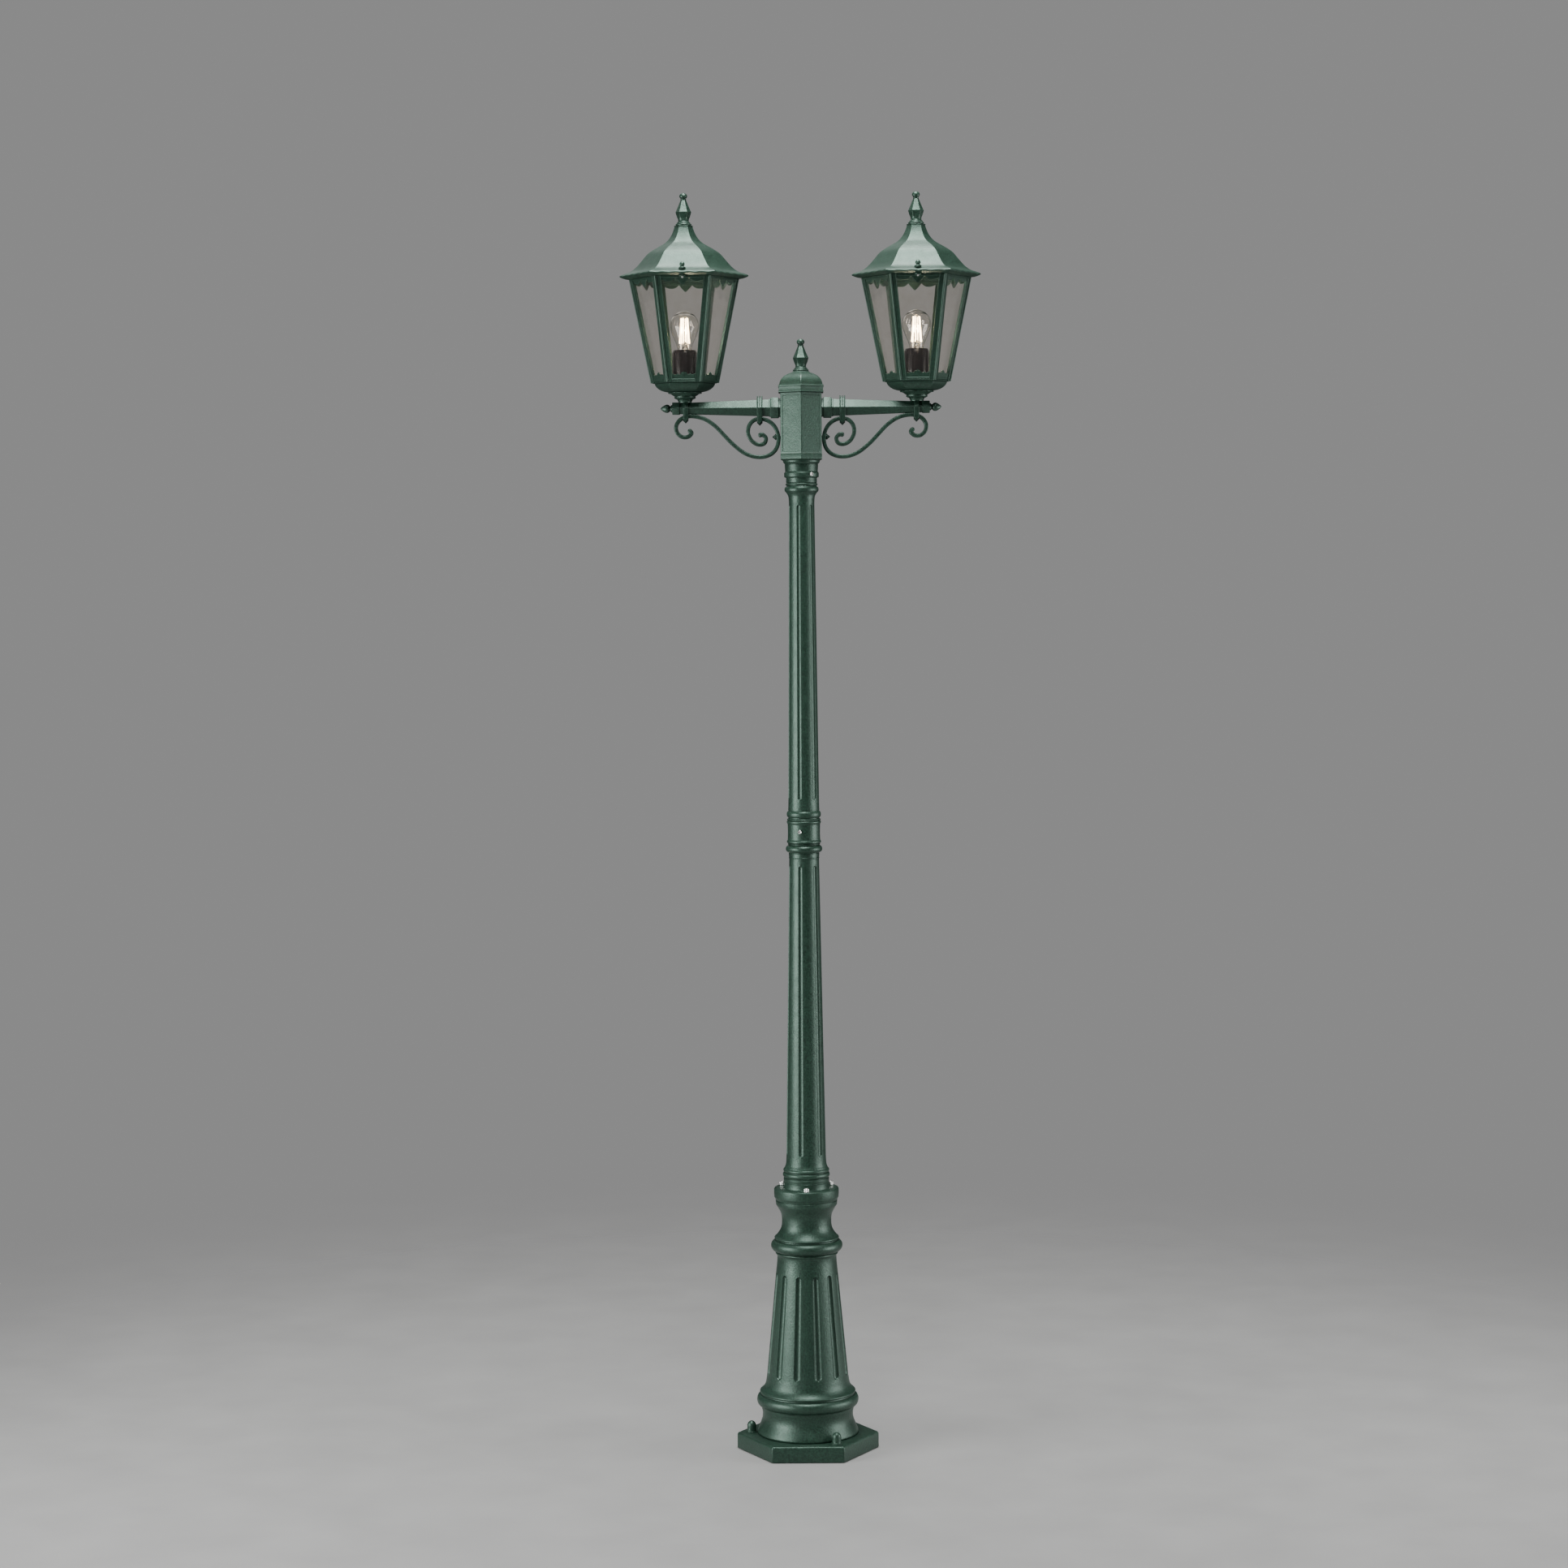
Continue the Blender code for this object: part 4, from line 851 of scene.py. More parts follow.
def mirrored(right):
    """A closed outline from its right half, which runs from the top down."""
    return right + [(-y, z) for y, z in reversed(right)]


def band(inner, outer, stations, sign):
    """A strap between two outlines of equal length, at stations of (x, growth, drop)."""
    middle = Vector((0.0, ARM_Z))
    bottom = min(z for _, z in outer) + 6.0
    outside, inside = [], []
    for x, growth, drop in stations:
        points = []
        for place in outer:
            point = Vector(place) + (Vector(place) - middle).normalized() * growth
            point.y -= drop if point.y < bottom else 0.0
            points.append((sign * x, *point))
        outside.append(points)
        inside.append([(sign * x, *place) for place in inner])
    return skin(outside + inside[::-1], closed=True)


def make_inner_clamp(side, sign):
    """Strap round the arm and the scroll: three ribs above, a ridged point below."""
    low, high = lowest("right_inner_clamp").x, highest("right_inner_clamp").x
    half = arm_half(low) + 0.35
    corner, flat = half * WIDE, half * WIDE / 2
    bar = BAR_WIDTH / 2 + 0.4
    inner = mirrored([(3.0, ARM_Z + half), (flat, ARM_Z + half), (corner, ARM_Z),
                      (bar + 1.2, 1913.0), (bar, 1903.2), (3.0, 1903.2)])
    outer = mirrored([(4.0, ARM_Z + half + 2.6), (flat + 1.5, ARM_Z + half + 2.6),
                      (corner + 2.9, ARM_Z), (bar + 3.9, 1912.0), (bar + 2.6, 1903.4),
                      (0.8, 1899.4)])
    middle = (low + high) / 2
    strap = band(inner, outer, [(low, 0.0, -2.2), (middle, 1.3, 1.6), (high, 0.0, -2.2)], sign)
    rib_inner = mirrored([(3.0, ARM_Z + half + 0.6), (flat, ARM_Z + half + 0.6),
                          (corner + 0.6, ARM_Z)])
    rib_outer = mirrored([(3.4, ARM_Z + half + 7.2), (flat + 3.4, ARM_Z + half + 6.8),
                          (corner + 4.4, ARM_Z - 1.0)])
    ribs = []
    for offset in (-4.1, 0.0, 4.1):
        stations = [(middle + offset + step, growth, 0.0)
                    for step, growth in ((-0.9, -0.3), (0.0, 0.3), (0.9, -0.3))]
        ribs.append(band(rib_inner, rib_outer, stations, sign))
    add_piece(side + "_inner_strap", [strap], [side + "_inner_clamp"], bevel=0.35)
    add_piece(side + "_inner_strap_ribs", ribs, bevel=0.3)


def make_outer_clamp(side, sign):
    """Open strap that hangs from the arm round the scroll, ridged and pointed below."""
    low, high = lowest("right_outer_clamp").x, highest("right_outer_clamp").x
    half = arm_half(low) + 0.5
    corner = half * WIDE
    bar = BAR_WIDTH / 2 + 0.4
    inner = mirrored([(3.0, ARM_Z + half), (corner / 2, ARM_Z + half), (corner, ARM_Z),
                      (bar, 1917.0), (bar, 1908.4), (3.0, 1908.4)])
    outer = mirrored([(3.4, ARM_Z + half + 1.4), (corner / 2 + 1.0, ARM_Z + half + 1.4),
                      (corner + 1.8, ARM_Z), (bar + 2.4, 1916.0), (bar + 2.2, 1908.6),
                      (0.8, 1904.6)])
    stations = [(low - 1.2, 0.0, -1.8), ((low + high) / 2, 1.3, 1.6), (high + 1.2, 0.0, -1.8)]
    strap = band(inner, outer, stations, sign)
    add_piece(side + "_outer_strap", [strap], [side + "_outer_clamp"], bevel=0.3)


# The lanterns. Their pieces are drawn round x 0 and shifted onto the lantern's axis.

CAGE_RING = CAGE_LOW + 3.0
STILE_WIDTH = 10.6
STILE_THICKNESS = 4.3
PLATE_THICKNESS = 2.4
KNOB_R = 92.0
KNOB_ANGLES = (270.0, 30.0, 150.0)
BULB_PITCH = 3.63


def cage_radius(z):
    """Circumradius of the cage's faces at a height."""
    return CAGE_LOW_R + (CAGE_TOP_R - CAGE_LOW_R) * (z - CAGE_RING) / (CAGE_TOP - CAGE_RING)


def face_point(face, across_face, z, out):
    """A point on one of the cage's faces: distance from its middle, height, distance outwards."""
    apothem = cage_radius(z) / WIDE + out
    turn = math.radians(60.0 * face + 30.0)
    return Vector((apothem * math.cos(turn) - across_face * math.sin(turn),
                   apothem * math.sin(turn) + across_face * math.cos(turn), z))


def make_stem(side, x):
    """Turned stem under the bowl with a petalled rim, and its nipple up into the holder."""
    top = BOWL_LOW - 0.3 - STEM_LOW
    outside = eased([(11.8, 0.0), (12.1, 1.8), (13.2, 3.2), (13.9, 4.0), (13.2, 4.8), (14.6, 5.8),
                     (17.6, 7.0), (19.6, 8.2), (19.8, 9.6), (18.9, 10.4), (19.2, 11.4)], 0.6)
    outside += curve([(20.6, 12.2), (22.6, 13.4), (24.6, 14.8), (26.6, 15.9), (28.8, 16.6)], 4)
    outside += eased([(30.4, 16.7), (30.9, top - 0.8), (30.2, top), (5.0, top), (5.0, top + 14.0),
                      (3.4, top + 14.0), (3.4, 0.0)], 0.4)
    sides = 96
    petals = 12
    rings = []
    for radius, rise in outside:
        share = min(max((radius - 26.0) / 4.0, 0.0), 1.0)
        points = []
        for step in range(sides):
            angle = math.tau * step / sides
            wave = abs(math.sin(petals * angle / 2)) ** 0.6 - 0.6
            points.append(at_turn(radius + 1.3 * share * wave, angle, STEM_LOW + rise))
        rings.append(points)
    add_piece(side + "_stem_turning", [skin(rings, closed=True)], [side + "_stem"], x)


def make_bowl(side, x):
    """Hexagonal dish below the glass, its creases in line with the cage's corners."""
    top = CAGE_LOW - 0.3 - BOWL_LOW
    rows = [(5.3, 0.0), (27.0, 0.0), (29.6, 0.4, 12.0), (33.6, 1.5, 6.0), (38.0, 3.4, 3.0),
            (42.0, 6.2, 1.6), (45.2, 9.6, 0.9), (47.2, 13.0, 0.7), (47.9, top - 0.6, 0.6),
            (47.5, top, 0.6), (44.6, top, 0.6), (44.0, top - 3.0, 0.6), (40.6, 8.2, 1.0),
            (36.0, 5.0, 2.0), (28.0, 3.0, 8.0), (5.3, 3.0)]
    dish = skin(mixed(rows, BOWL_LOW), closed=True)
    add_piece(side + "_bowl_dish", [dish], [side + "_bowl"], x)


def make_cage_base(side, x):
    """Hexagonal floor ring that carries the six posts."""
    outer = cage_radius(CAGE_LOW) / WIDE
    rows = [(40.7, 0.0, 0.6)]
    rows += [(outer + out, rise, 0.8)
             for out, rise in ((-2.4, 0.0), (-0.9, 0.5), (0.2, 2.4), (-0.2, 3.0), (0.5, 3.6),
                               (0.9, 5.6), (0.4, 6.4), (-3.6, 6.6), (-3.9, 3.2))]
    rows.append((40.7, 3.0, 0.6))
    base = skin(mixed(rows, CAGE_LOW), closed=True)
    add_piece(side + "_cage_base", [base], [side + "_cage"], x)


def make_cage_rim(side, x):
    """Hexagonal band that joins the posts under the roof."""
    outer = cage_radius(CAGE_TOP) / WIDE
    rows = [(outer + out, rise, 0.8)
            for out, rise in ((-4.6, -4.0), (-1.0, -4.0), (-0.1, -3.2), (0.0, -0.4), (-0.4, 0.0),
                              (-4.6, 0.0))]
    add_piece(side + "_cage_rim", [skin(mixed(rows, CAGE_TOP), closed=True)], x=x)


def post_section(z):
    """Outline of one corner post at a height: two stiles with lips, and a round bead between."""
    radius = cage_radius(z)
    half = []
    for along, out in ((STILE_WIDTH, -STILE_THICKNESS), (STILE_WIDTH, 0.45),
                       (STILE_WIDTH - 0.25, 0.8), (STILE_WIDTH - 1.25, 0.8),
                       (STILE_WIDTH - 1.6, 0.5), (STILE_WIDTH - 1.8, 0.0), (3.4, 0.0),
                       (2.7, -0.55), (2.2, -0.35)):
        half.append((-0.5 * along + 0.866 * out, 0.866 * along + 0.5 * out))
    for step in range(7):
        angle = math.radians(106.0 * (1.0 - step / 6.0))
        half.append((0.15 + 1.85 * math.cos(angle), 1.85 * math.sin(angle)))
    inside = [(-STILE_THICKNESS * WIDE, 0.0)]
    section = inside + half + [(r, -t) for r, t in reversed(half[:-1])]
    return [Vector((radius + outward, sideways, z)) for outward, sideways in section]


def make_cage_posts(side, x):
    """Six sloping corner posts."""
    heights = [CAGE_LOW + 1.0, CAGE_LOW + 60.0, CAGE_LOW + 120.0, CAGE_TOP - 0.2]
    post = skin([post_section(z) for z in heights])
    shells = [turned_about(post, 60.0 * corner) for corner in range(6)]
    add_piece(side + "_cage_posts", shells, x=x, sharp=28.0)


def fringe(face, edge, straight):
    """A plate between two posts with a shaped edge and a straight one at a height."""
    front, back = [], []
    for share, z in edge + [(share, straight) for share, _ in reversed(edge)]:
        reach = share * (cage_radius(z) / 2 - STILE_WIDTH + 0.8)
        front.append(face_point(face, reach, z, -0.5))
        back.append(face_point(face, reach, z, -0.5 - PLATE_THICKNESS))
    count = len(front)
    faces = []
    for low in range(len(edge) - 1):
        high = count - 1 - low
        faces.append((low, low + 1, high - 1, high))
        faces.append((count + high, count + high - 1, count + low + 1, count + low))
    for corner in range(count):
        after = (corner + 1) % count
        faces.append((corner, count + corner, count + after, after))
    return front + back, faces


def lobe(start, tip, end, power, steps=8):
    """A hanging lobe between two cusps; a higher power makes it rounder."""
    points = []
    for step in range(steps):
        t = 2.0 * step / steps - 1.0
        cusp = start if t < 0 else end
        share = start[0] + (end[0] - start[0]) * step / steps
        points.append((share, tip + (cusp[1] - tip) * abs(t) ** power))
    return points


def make_valances(side, x):
    """Scalloped plates under the eave: a deep lobe between two shallow ones on every face."""
    cusp, ends = CAGE_TOP - 4.2, CAGE_TOP - 6.5
    edge = lobe((-1.0, ends), CAGE_TOP - 10.8, (-0.31, cusp), 2.2)
    edge += lobe((-0.31, cusp), CAGE_TOP - 17.0, (0.31, cusp), 1.25, 10)
    edge += lobe((0.31, cusp), CAGE_TOP - 10.8, (1.0, ends), 2.2)
    edge.append((1.0, ends))
    plates = [fringe(face, edge, CAGE_TOP - 1.0) for face in range(6)]
    add_piece(side + "_valances", plates, x=x, bevel=0.55, sharp=50.0)
    beads = []
    for face in range(6):
        left, right = [], []
        for out, rise in ((-0.6, 0.0), (0.5, 0.15), (0.8, 0.7), (0.5, 1.3), (-0.6, 1.5)):
            z = CAGE_TOP - 3.2 + rise
            half = cage_radius(z) / 2 - STILE_WIDTH + 1.0
            left.append(face_point(face, -half, z, out))
            right.append(face_point(face, half, z, out))
        beads.append(skin([left, right]))
    add_piece(side + "_valance_beads", beads, x=x, sharp=60.0)


def make_crests(side, x):
    """Low plates above the floor ring with a three-pointed crown in the middle."""
    right = [(0.0, 19.8), (0.035, 19.4), (0.08, 17.2), (0.13, 17.6), (0.17, 18.2), (0.21, 17.4),
             (0.26, 15.4), (0.34, 14.2), (0.44, 14.6), (0.54, 15.4), (0.62, 14.6), (0.70, 13.6),
             (0.80, 14.4), (0.90, 15.6), (1.0, 16.4)]
    left = [(-share, rise) for share, rise in right[:0:-1]]
    edge = [(share, CAGE_LOW + rise) for share, rise in left + right]
    plates = [fringe(face, edge, CAGE_LOW + 5.0) for face in range(6)]
    add_piece(side + "_crests", plates, x=x, bevel=0.4, sharp=50.0)


def make_cage_ears(side, x):
    """Three ears on the cage for the roof's knobs, each with its hole."""
    low, high = CAGE_TOP - 2.4, CAGE_TOP
    half = [(82.0, -6.0), (KNOB_R, -6.0), (94.6, -5.0), (96.4, -2.6)]
    outline = half + [(97.0, 0.0)] + [(u, -v) for u, v in half[::-1]] + [(82.0, 0.0)]
    hole = dome(2.4, 0.0, 2.4, (-135, -80, -50, -22, 0, 22, 50, 80, 135, 180), KNOB_R)
    rings = [[(u, v, z) for u, v in points]
             for points, z in ((outline, low), (outline, high), (hole, high), (hole, low))]
    ears = [turned_about(skin(rings, closed=True), angle) for angle in KNOB_ANGLES]
    add_piece(side + "_cage_ears", ears, x=x, bevel=0.4)


def make_panes(side, x):
    """Six separate panes of seeded glass, each behind its own opening."""
    for face in range(6):
        rings = []
        for z in (CAGE_RING + 3.9, CAGE_TOP - 4.4):
            half = cage_radius(z) / 2 - 4.6
            corners = [(-half, -7.6), (half, -7.6), (half + 0.6, -4.7), (-half - 0.6, -4.7)]
            rings.append([face_point(face, wide, z, out) for wide, out in corners])
        replaced = [side + "_glazing"] if face == 0 else []
        pane = add_piece("%s_pane_%d" % (side, face + 1), [skin(rings)], replaced, x, finish=PANE,
                         bevel=0.3)
        pane.visible_shadow = False


ROOF_STEPS = 30
ROOF_WAVE = 0.45


def roof_rows():
    """The roof's outer sweep from its lip to its neck, as (circumradius, rise)."""
    lip = eased([(87.0, 0.0), (107.0, 0.0), (111.6, 1.4), (115.6, 3.0), (117.4, 3.8),
                 (117.9, 4.8), (117.7, 6.0), (116.4, 7.0), (111.8, 8.8)], 0.5)
    sweep = curve([(107.0, 10.4), (101.0, 12.4), (94.4, 16.0), (88.0, 21.2), (82.6, 27.0),
                   (76.0, 34.6), (70.4, 41.4), (65.0, 46.8), (58.0, 51.6), (50.0, 56.4),
                   (42.0, 60.8), (35.0, 65.0), (29.6, 69.6), (25.2, 75.0), (21.4, 81.6),
                   (18.6, 88.4), (16.8, 94.0)], 4)
    top = ROOF_TOP - ROOF_LOW
    return lip + sweep + eased([(16.8, 94.6), (17.4, 95.2), (17.2, top - 0.4), (16.0, top)], 0.4)


def make_roof(side, x):
    """Swept six-sided roof with a wide, softly scalloped lip, hollow below."""
    rings = []
    for radius, rise in roof_rows():
        points = hexagon(radius / WIDE, ROOF_LOW + rise, 0.9, steps=ROOF_STEPS)
        swing = ROOF_WAVE * min(max((radius - 109.0) / 7.0, 0.0), 1.0)
        for index, point in enumerate(points):
            share = (index % (CORNER_STEPS + ROOF_STEPS) - CORNER_STEPS) / ROOF_STEPS
            if share > 0.0:
                point.z += swing * (math.cos(math.tau * 5.0 * share) - 1.0)
        rings.append(points)
    rings += mixed([(2.4, 0.0), (2.4, -3.5)], ROOF_TOP, steps=ROOF_STEPS)
    inside = [(radius / WIDE, rise, 0.9)
              for radius, rise in ((11.5, 93.2), (15.5, 84.7), (22.5, 70.2), (33.0, 60.7),
                                   (42.0, 56.2), (54.0, 48.2), (62.0, 43.2), (72.5, 31.2),
                                   (84.5, 17.7), (87.0, 14.2))]
    rings += mixed(inside, ROOF_LOW, steps=ROOF_STEPS)
    body = side + "_roof_body"
    add_piece(side + "_roof_shell", [skin(rings, closed=True)], [side + "_roof"], x, body)
    finial = shifted(finial_shell(), z=ROOF_TOP)
    add_piece(side + "_roof_spindle", [finial], [side + "_roof_finial"], x, body)


def make_roof_knobs(side, x):
    """Two-tier knobs on bright studs that go down through the eave and the cage's ears."""
    knob = eased([(0.0, -3.0), (5.9, -3.0), (6.4, -2.0), (6.2, 0.2), (4.6, 1.4), (3.5, 2.2),
                  (3.4, 3.2), (4.5, 4.0), (4.9, 5.4), (4.4, 7.6), (2.9, 9.6), (1.2, 10.8),
                  (0.0, 11.2)], 0.5)
    stud = [(0.0, -18.6), (1.5, -18.6), (2.0, -18.0)]
    for thread in range(18):
        z = -17.6 + 0.7 * thread
        stud += [(2.0, z), (1.75, z + 0.35)]
    stud += [(2.0, -3.3), (0.0, -3.3)]
    for index, angle in enumerate(KNOB_ANGLES, 1):
        node = "%s_roof_knob_%d" % (side, index)
        body = node + "_body"
        place = polar(KNOB_R, angle, highest(node).z - 11.2)
        add_piece(node + "_turning", [shifted(turned(knob, 32), *place)], [node], x, body)
        add_piece(node + "_stud", [shifted(turned(stud, 20), *place)], (), x, body, STEEL)


def make_lamp_holder(side, x):
    """Glossy black holder with a threaded mouth."""
    wide, top = HOLDER_R, HOLDER_TOP - HOLDER_LOW
    rows = eased([(5.3, 0.0), (9.4, 0.0), (10.0, 0.8), (10.0, 17.2), (14.0, 20.6), (20.4, 23.6),
                  (wide - 0.4, 25.4), (wide, 27.0), (wide, top - 4.6), (wide - 0.6, top - 3.2),
                  (wide - 1.6, top - 2.6), (wide - 1.8, top - 0.8), (wide - 2.6, top),
                  (14.6, top), (13.9, top - 0.8)], 0.6)
    rise = top - 2.0
    while rise > 43.0:
        rows += [(13.9, rise), (14.5, rise - BULB_PITCH / 2)]
        rise -= BULB_PITCH
    rows += [(13.9, 41.4), (3.5, 41.4), (3.5, 11.0), (5.3, 11.0)]
    shell = shifted(turned(rows, 64, closed=True), z=HOLDER_LOW)
    add_piece(side + "_holder_shell", [shell], [side + "_lamp_holder"], x, finish=HOLDER)


def threaded(low, high, radius, depth, pitch, sides=48):
    """A round bar with a rolled thread that fades out at both ends."""
    rings = []
    rows = int((high - low) / pitch * 8)
    for row in range(rows + 1):
        z = low + (high - low) * row / rows
        fade = min(1.0, (z - low) / pitch, (high - z) / pitch)
        points = []
        for side in range(sides):
            angle = math.tau * side / sides
            swell = depth * fade * math.cos(math.tau * z / pitch - angle)
            points.append(at_turn(radius + swell, angle, z))
        rings.append(points)
    return rings


def make_bulb(side, x):
    """Contact, threaded cap, blown glass, glass mount and lit filaments."""
    body = side + "_bulb_body"
    node = side + "_bulb_contact"
    contact = eased([(0.0, 0.0), (2.6, 0.1), (3.8, 0.6), (4.2, 1.2), (4.2, 1.4), (0.0, 1.4)], 0.3)
    disc = shifted(turned(contact, 32), z=lowest(node).z)
    add_piece(node + "_disc", [disc], [node], x, side + "_bulb_seat", BRASS)
    low = lowest(side + "_bulb_cap").z
    rings = [ring(radius, low + rise, 48)
             for radius, rise in ((0.0, 0.0), (6.4, 0.0), (7.4, 0.4), (11.6, 3.8), (12.3, 4.6))]
    rings += threaded(low + 5.4, BULB_NECK - 4.4, 12.6, 0.55, BULB_PITCH)
    rings += [ring(radius, BULB_NECK - drop, 48)
              for radius, drop in ((12.9, 3.8), (13.2, 3.0), (13.2, 1.0), (12.7, 0.4), (0.0, 0.3))]
    add_piece(side + "_bulb_screw_cap", [skin(rings)], [side + "_bulb_cap"], x, body, NICKEL)
    centre = BULB_TOP - BULB_R - BULB_NECK
    outside = curve([(12.6, 0.0), (12.8, 3.0), (13.8, 8.0), (16.4, 15.5), (20.0, 23.0),
                     (23.4, centre - 13.6)], 5)
    outside += dome(BULB_R, centre, BULB_R, range(-24, 91, 6))
    wall = 0.8
    inside = [(max(radius - wall, 0.0), z - (wall if radius < BULB_R * 0.7 and z > centre else 0.0))
              for radius, z in outside]
    crown = centre + BULB_R
    profile = outside[:-1] + [(0.0, crown), (0.0, crown - wall)] + inside[-2::-1]
    size = 64
    points, faces = shifted(turned(profile, size), z=BULB_NECK)
    last = (len(profile) - 1) * size
    rim = [(last + step, last + (step + 1) % size, (step + 1) % size, step)
           for step in range(size)]
    envelope = add_piece(side + "_bulb_envelope", [(points, faces[:-2] + rim)],
                         [side + "_bulb_glass"], x, body, BULB)
    envelope.visible_shadow = False
    make_filaments(side, x, body)


def rod(start, end, radius, sides=12):
    """A round bar with domed ends between two points."""
    length = (Vector(end) - Vector(start)).length
    rows = [(0.0, 0.0), (0.6, 0.12), (0.9, 0.4), (1.0, 1.0)]
    profile = [(radius * wide, radius * rise) for wide, rise in rows]
    profile += [(radius * wide, length - radius * rise) for wide, rise in reversed(rows)]
    return pointed(turned(profile, sides), start, Vector(end) - Vector(start))


def make_filaments(side, x, body):
    """Six light-emitting sticks round a glass mount, on fine wires."""
    mount = eased([(0.0, 0.4), (9.4, 0.4), (9.0, 2.0), (5.6, 6.4), (4.0, 11.0), (3.4, 14.6),
                   (1.7, 16.4), (1.5, 19.0), (1.5, 60.0), (2.6, 61.2), (2.4, 62.4), (0.0, 63.2)],
                  0.8)
    mount = shifted(turned(mount, 32), z=BULB_NECK)
    add_piece(side + "_filament_mount", [mount], (), x, body, BULB)
    sticks, wires = [], []
    for angle in range(15, 375, 60):
        root, foot, head, tip = (polar(radius, angle, BULB_NECK + rise) for radius, rise in
                                 ((2.4, 11.0), (9.4, 13.0), (6.0, 59.0), (1.6, 61.6)))
        sticks.append(rod(foot, head, 0.95))
        wires += [rod(root, foot, 0.28, 8), rod(head, tip, 0.28, 8)]
    add_piece(side + "_filament_sticks", sticks, [side + "_filament"], x, body, PHOSPHOR)
    add_piece(side + "_filament_wires", wires, (), x, body, NICKEL)


def make_lantern(side, x):
    """Everything above one arm."""
    for make in (make_stem, make_bowl, make_cage_base, make_cage_rim, make_cage_posts,
                 make_valances, make_crests, make_cage_ears, make_panes, make_roof,
                 make_roof_knobs, make_lamp_holder, make_bulb):
        make(side, x)


def finish_wiring():
    """The hidden wiring keeps its CAD shape and gets its finishes."""
    finishes = {"riser_cable": SLEEVE, "left_lamp_lead": SLEEVE, "right_lamp_lead": SLEEVE,
                "terminal_block": TERMINAL, "base_connector": CONNECTOR}
    for node, surface in finishes.items():
        for material_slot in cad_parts[node].material_slots:
            material_slot.material = surface


# The stage.

CAMERA_PLACE = (0.0, -6.267, 1.629)
CAMERA_LENS = 78.26
CAMERA_PITCH = math.radians(3.556)
CAMERA_YAW = math.radians(0.330)
CAMERA_ROLL = -0.0073


def make_camera():
    """The photograph's long lens, a little above the middle of the post."""
    data = bpy.data.cameras.new("camera")
    data.lens = CAMERA_LENS
    data.sensor_width = 36.0
    data.clip_end = 200.0
    camera = set_up("camera", data)
    turn = Matrix.Rotation(CAMERA_YAW, 4, "Z")
    turn @= Matrix.Rotation(math.pi / 2 - CAMERA_PITCH, 4, "X")
    turn @= Matrix.Rotation(CAMERA_ROLL, 4, "Z")
    camera.matrix_world = Matrix.Translation(CAMERA_PLACE) @ turn
    bpy.context.scene.camera = camera


def make_stage_object(name, shape, material):
    """A mesh that is part of the studio, not of the lamp post."""
    mesh = bpy.data.meshes.new(name)
    shape.to_mesh(mesh)
    shape.free()
    mesh.materials.append(material)
    piece = set_up(name, mesh)
    return piece


def make_floor():
    """A plain pale floor that fades out into the backdrop."""
    shape = bmesh.new()
    bmesh.ops.create_circle(shape, cap_ends=True, segments=128, radius=9.0)
    surface = Surface("pale_floor", (0.28, 0.28, 0.276), 0.7)
    surface.vary_color(surface.noise(6.0, 5.0), (0.265, 0.265, 0.261), (0.295, 0.295, 0.29))
    distance = surface.tree.nodes.new("ShaderNodeVectorMath")
    distance.operation = "LENGTH"
    surface.tree.links.new(surface.place, distance.inputs[0])
    fade = surface.node("MapRange", From_Min=1.0, From_Max=3.2, To_Min=1.0, To_Max=0.0,
                        Value=distance.outputs["Value"])
    fade.interpolation_type = "SMOOTHSTEP"
    surface.set(surface.shader, Alpha=fade.outputs["Result"])
    floor = make_stage_object("floor", shape, surface.material)
    floor.location.z = -0.0005


def make_backdrop():
    """A plain grey studio all round, which lights nothing itself."""
    shape = bmesh.new()
    bmesh.ops.create_icosphere(shape, subdivisions=4, radius=60.0)
    material = bpy.data.materials.new("backdrop")
    material.use_nodes = True
    shader = material.node_tree.nodes["Principled BSDF"]
    shader.inputs["Base Color"].default_value = (0.0, 0.0, 0.0, 1.0)
    shader.inputs["Specular IOR Level"].default_value = 0.0
    shader.inputs["Emission Color"].default_value = (0.262, 0.262, 0.262, 1.0)
    shader.inputs["Emission Strength"].default_value = 1.0
    backdrop = make_stage_object("backdrop", shape, material)
    backdrop.visible_diffuse = False
    backdrop.visible_glossy = False
    backdrop.visible_shadow = False


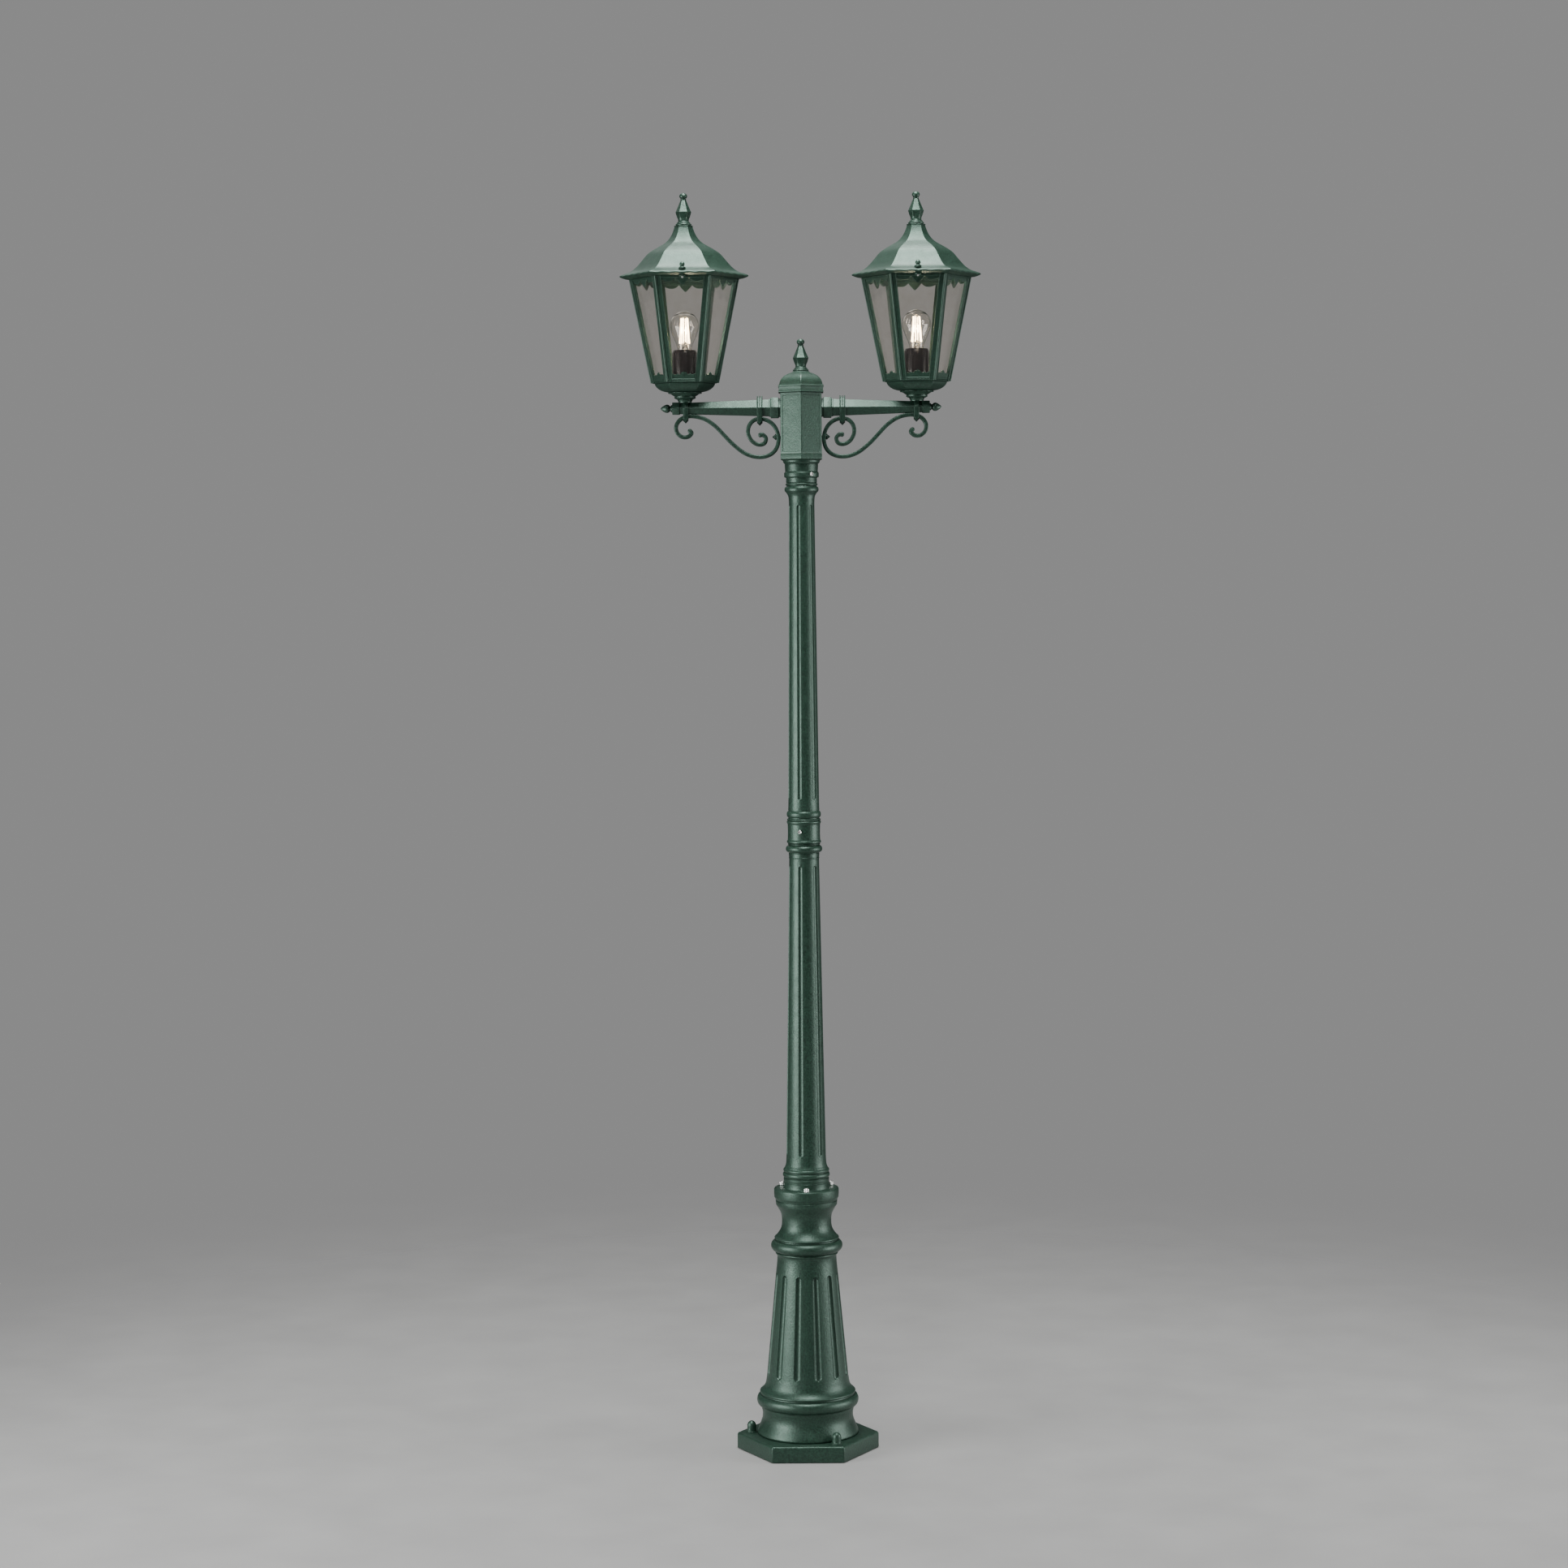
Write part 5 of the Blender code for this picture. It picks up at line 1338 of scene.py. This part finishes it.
def softbox(name, azimuth, distance, height, size, radiance, aim=1.2):
    """A large area light, aimed at the post from an azimuth in degrees from the front."""
    data = bpy.data.lights.new(name, "AREA")
    data.shape = "RECTANGLE"
    data.size, data.size_y = size
    data.energy = radiance * math.pi * size[0] * size[1]
    light = set_up(name, data)
    turn = math.radians(azimuth)
    place = Vector((math.sin(turn) * distance, -math.cos(turn) * distance, height))
    light.location = place
    light.rotation_euler = (place - Vector((0.0, 0.0, aim))).to_track_quat("Z", "Y").to_euler()
    light.visible_camera = False


def make_lights():
    """Softboxes at both sides, overhead and behind, lit bulbs and a dim grey world."""
    softbox("left_softbox", -62.0, 3.2, 1.04, (1.9, 2.0), 12.0, aim=1.04)
    softbox("right_softbox", 81.0, 3.2, 1.04, (2.0, 2.0), 7.5, aim=1.04)
    softbox("overhead_softbox", 0.0, 0.6, 4.5, (1.4, 3.4), 20.0, aim=2.0)
    softbox("rear_softbox", -160.0, 4.2, 3.9, (3.6, 1.3), 0.9, aim=2.17)
    for side, sign in SIDES:
        glow = bpy.data.lights.new(side + "_bulb_glow", "POINT")
        glow.energy = 0.3
        glow.color = (1.0, 0.83, 0.62)
        glow.shadow_soft_size = 0.008
        lamp = set_up(side + "_bulb_glow", glow)
        lamp.location = (sign * LANTERN_X * MM, 0.0, (BULB_NECK + 37.0) * MM)
    world = bpy.data.worlds.new("studio")
    world.use_nodes = True
    background = world.node_tree.nodes["Background"]
    background.inputs["Color"].default_value = (0.055, 0.055, 0.056, 1.0)
    background.inputs["Strength"].default_value = 1.0
    bpy.context.scene.world = world


def main():
    """Builds the pieces, then the stage."""
    make_camera()
    for make in (make_pedestal, make_anchor_nuts, make_post_screws, make_lower_shaft,
                 make_joint_collar, make_upper_shaft, make_head, make_head_cap, make_head_finial):
        make()
    for side, sign in SIDES:
        for make in (make_arm, make_arm_tip, make_scroll, make_scroll_screw, make_inner_clamp,
                     make_outer_clamp):
            make(side, sign)
        make_lantern(side, sign * LANTERN_X)
    finish_wiring()
    make_floor()
    make_backdrop()
    make_lights()


main()
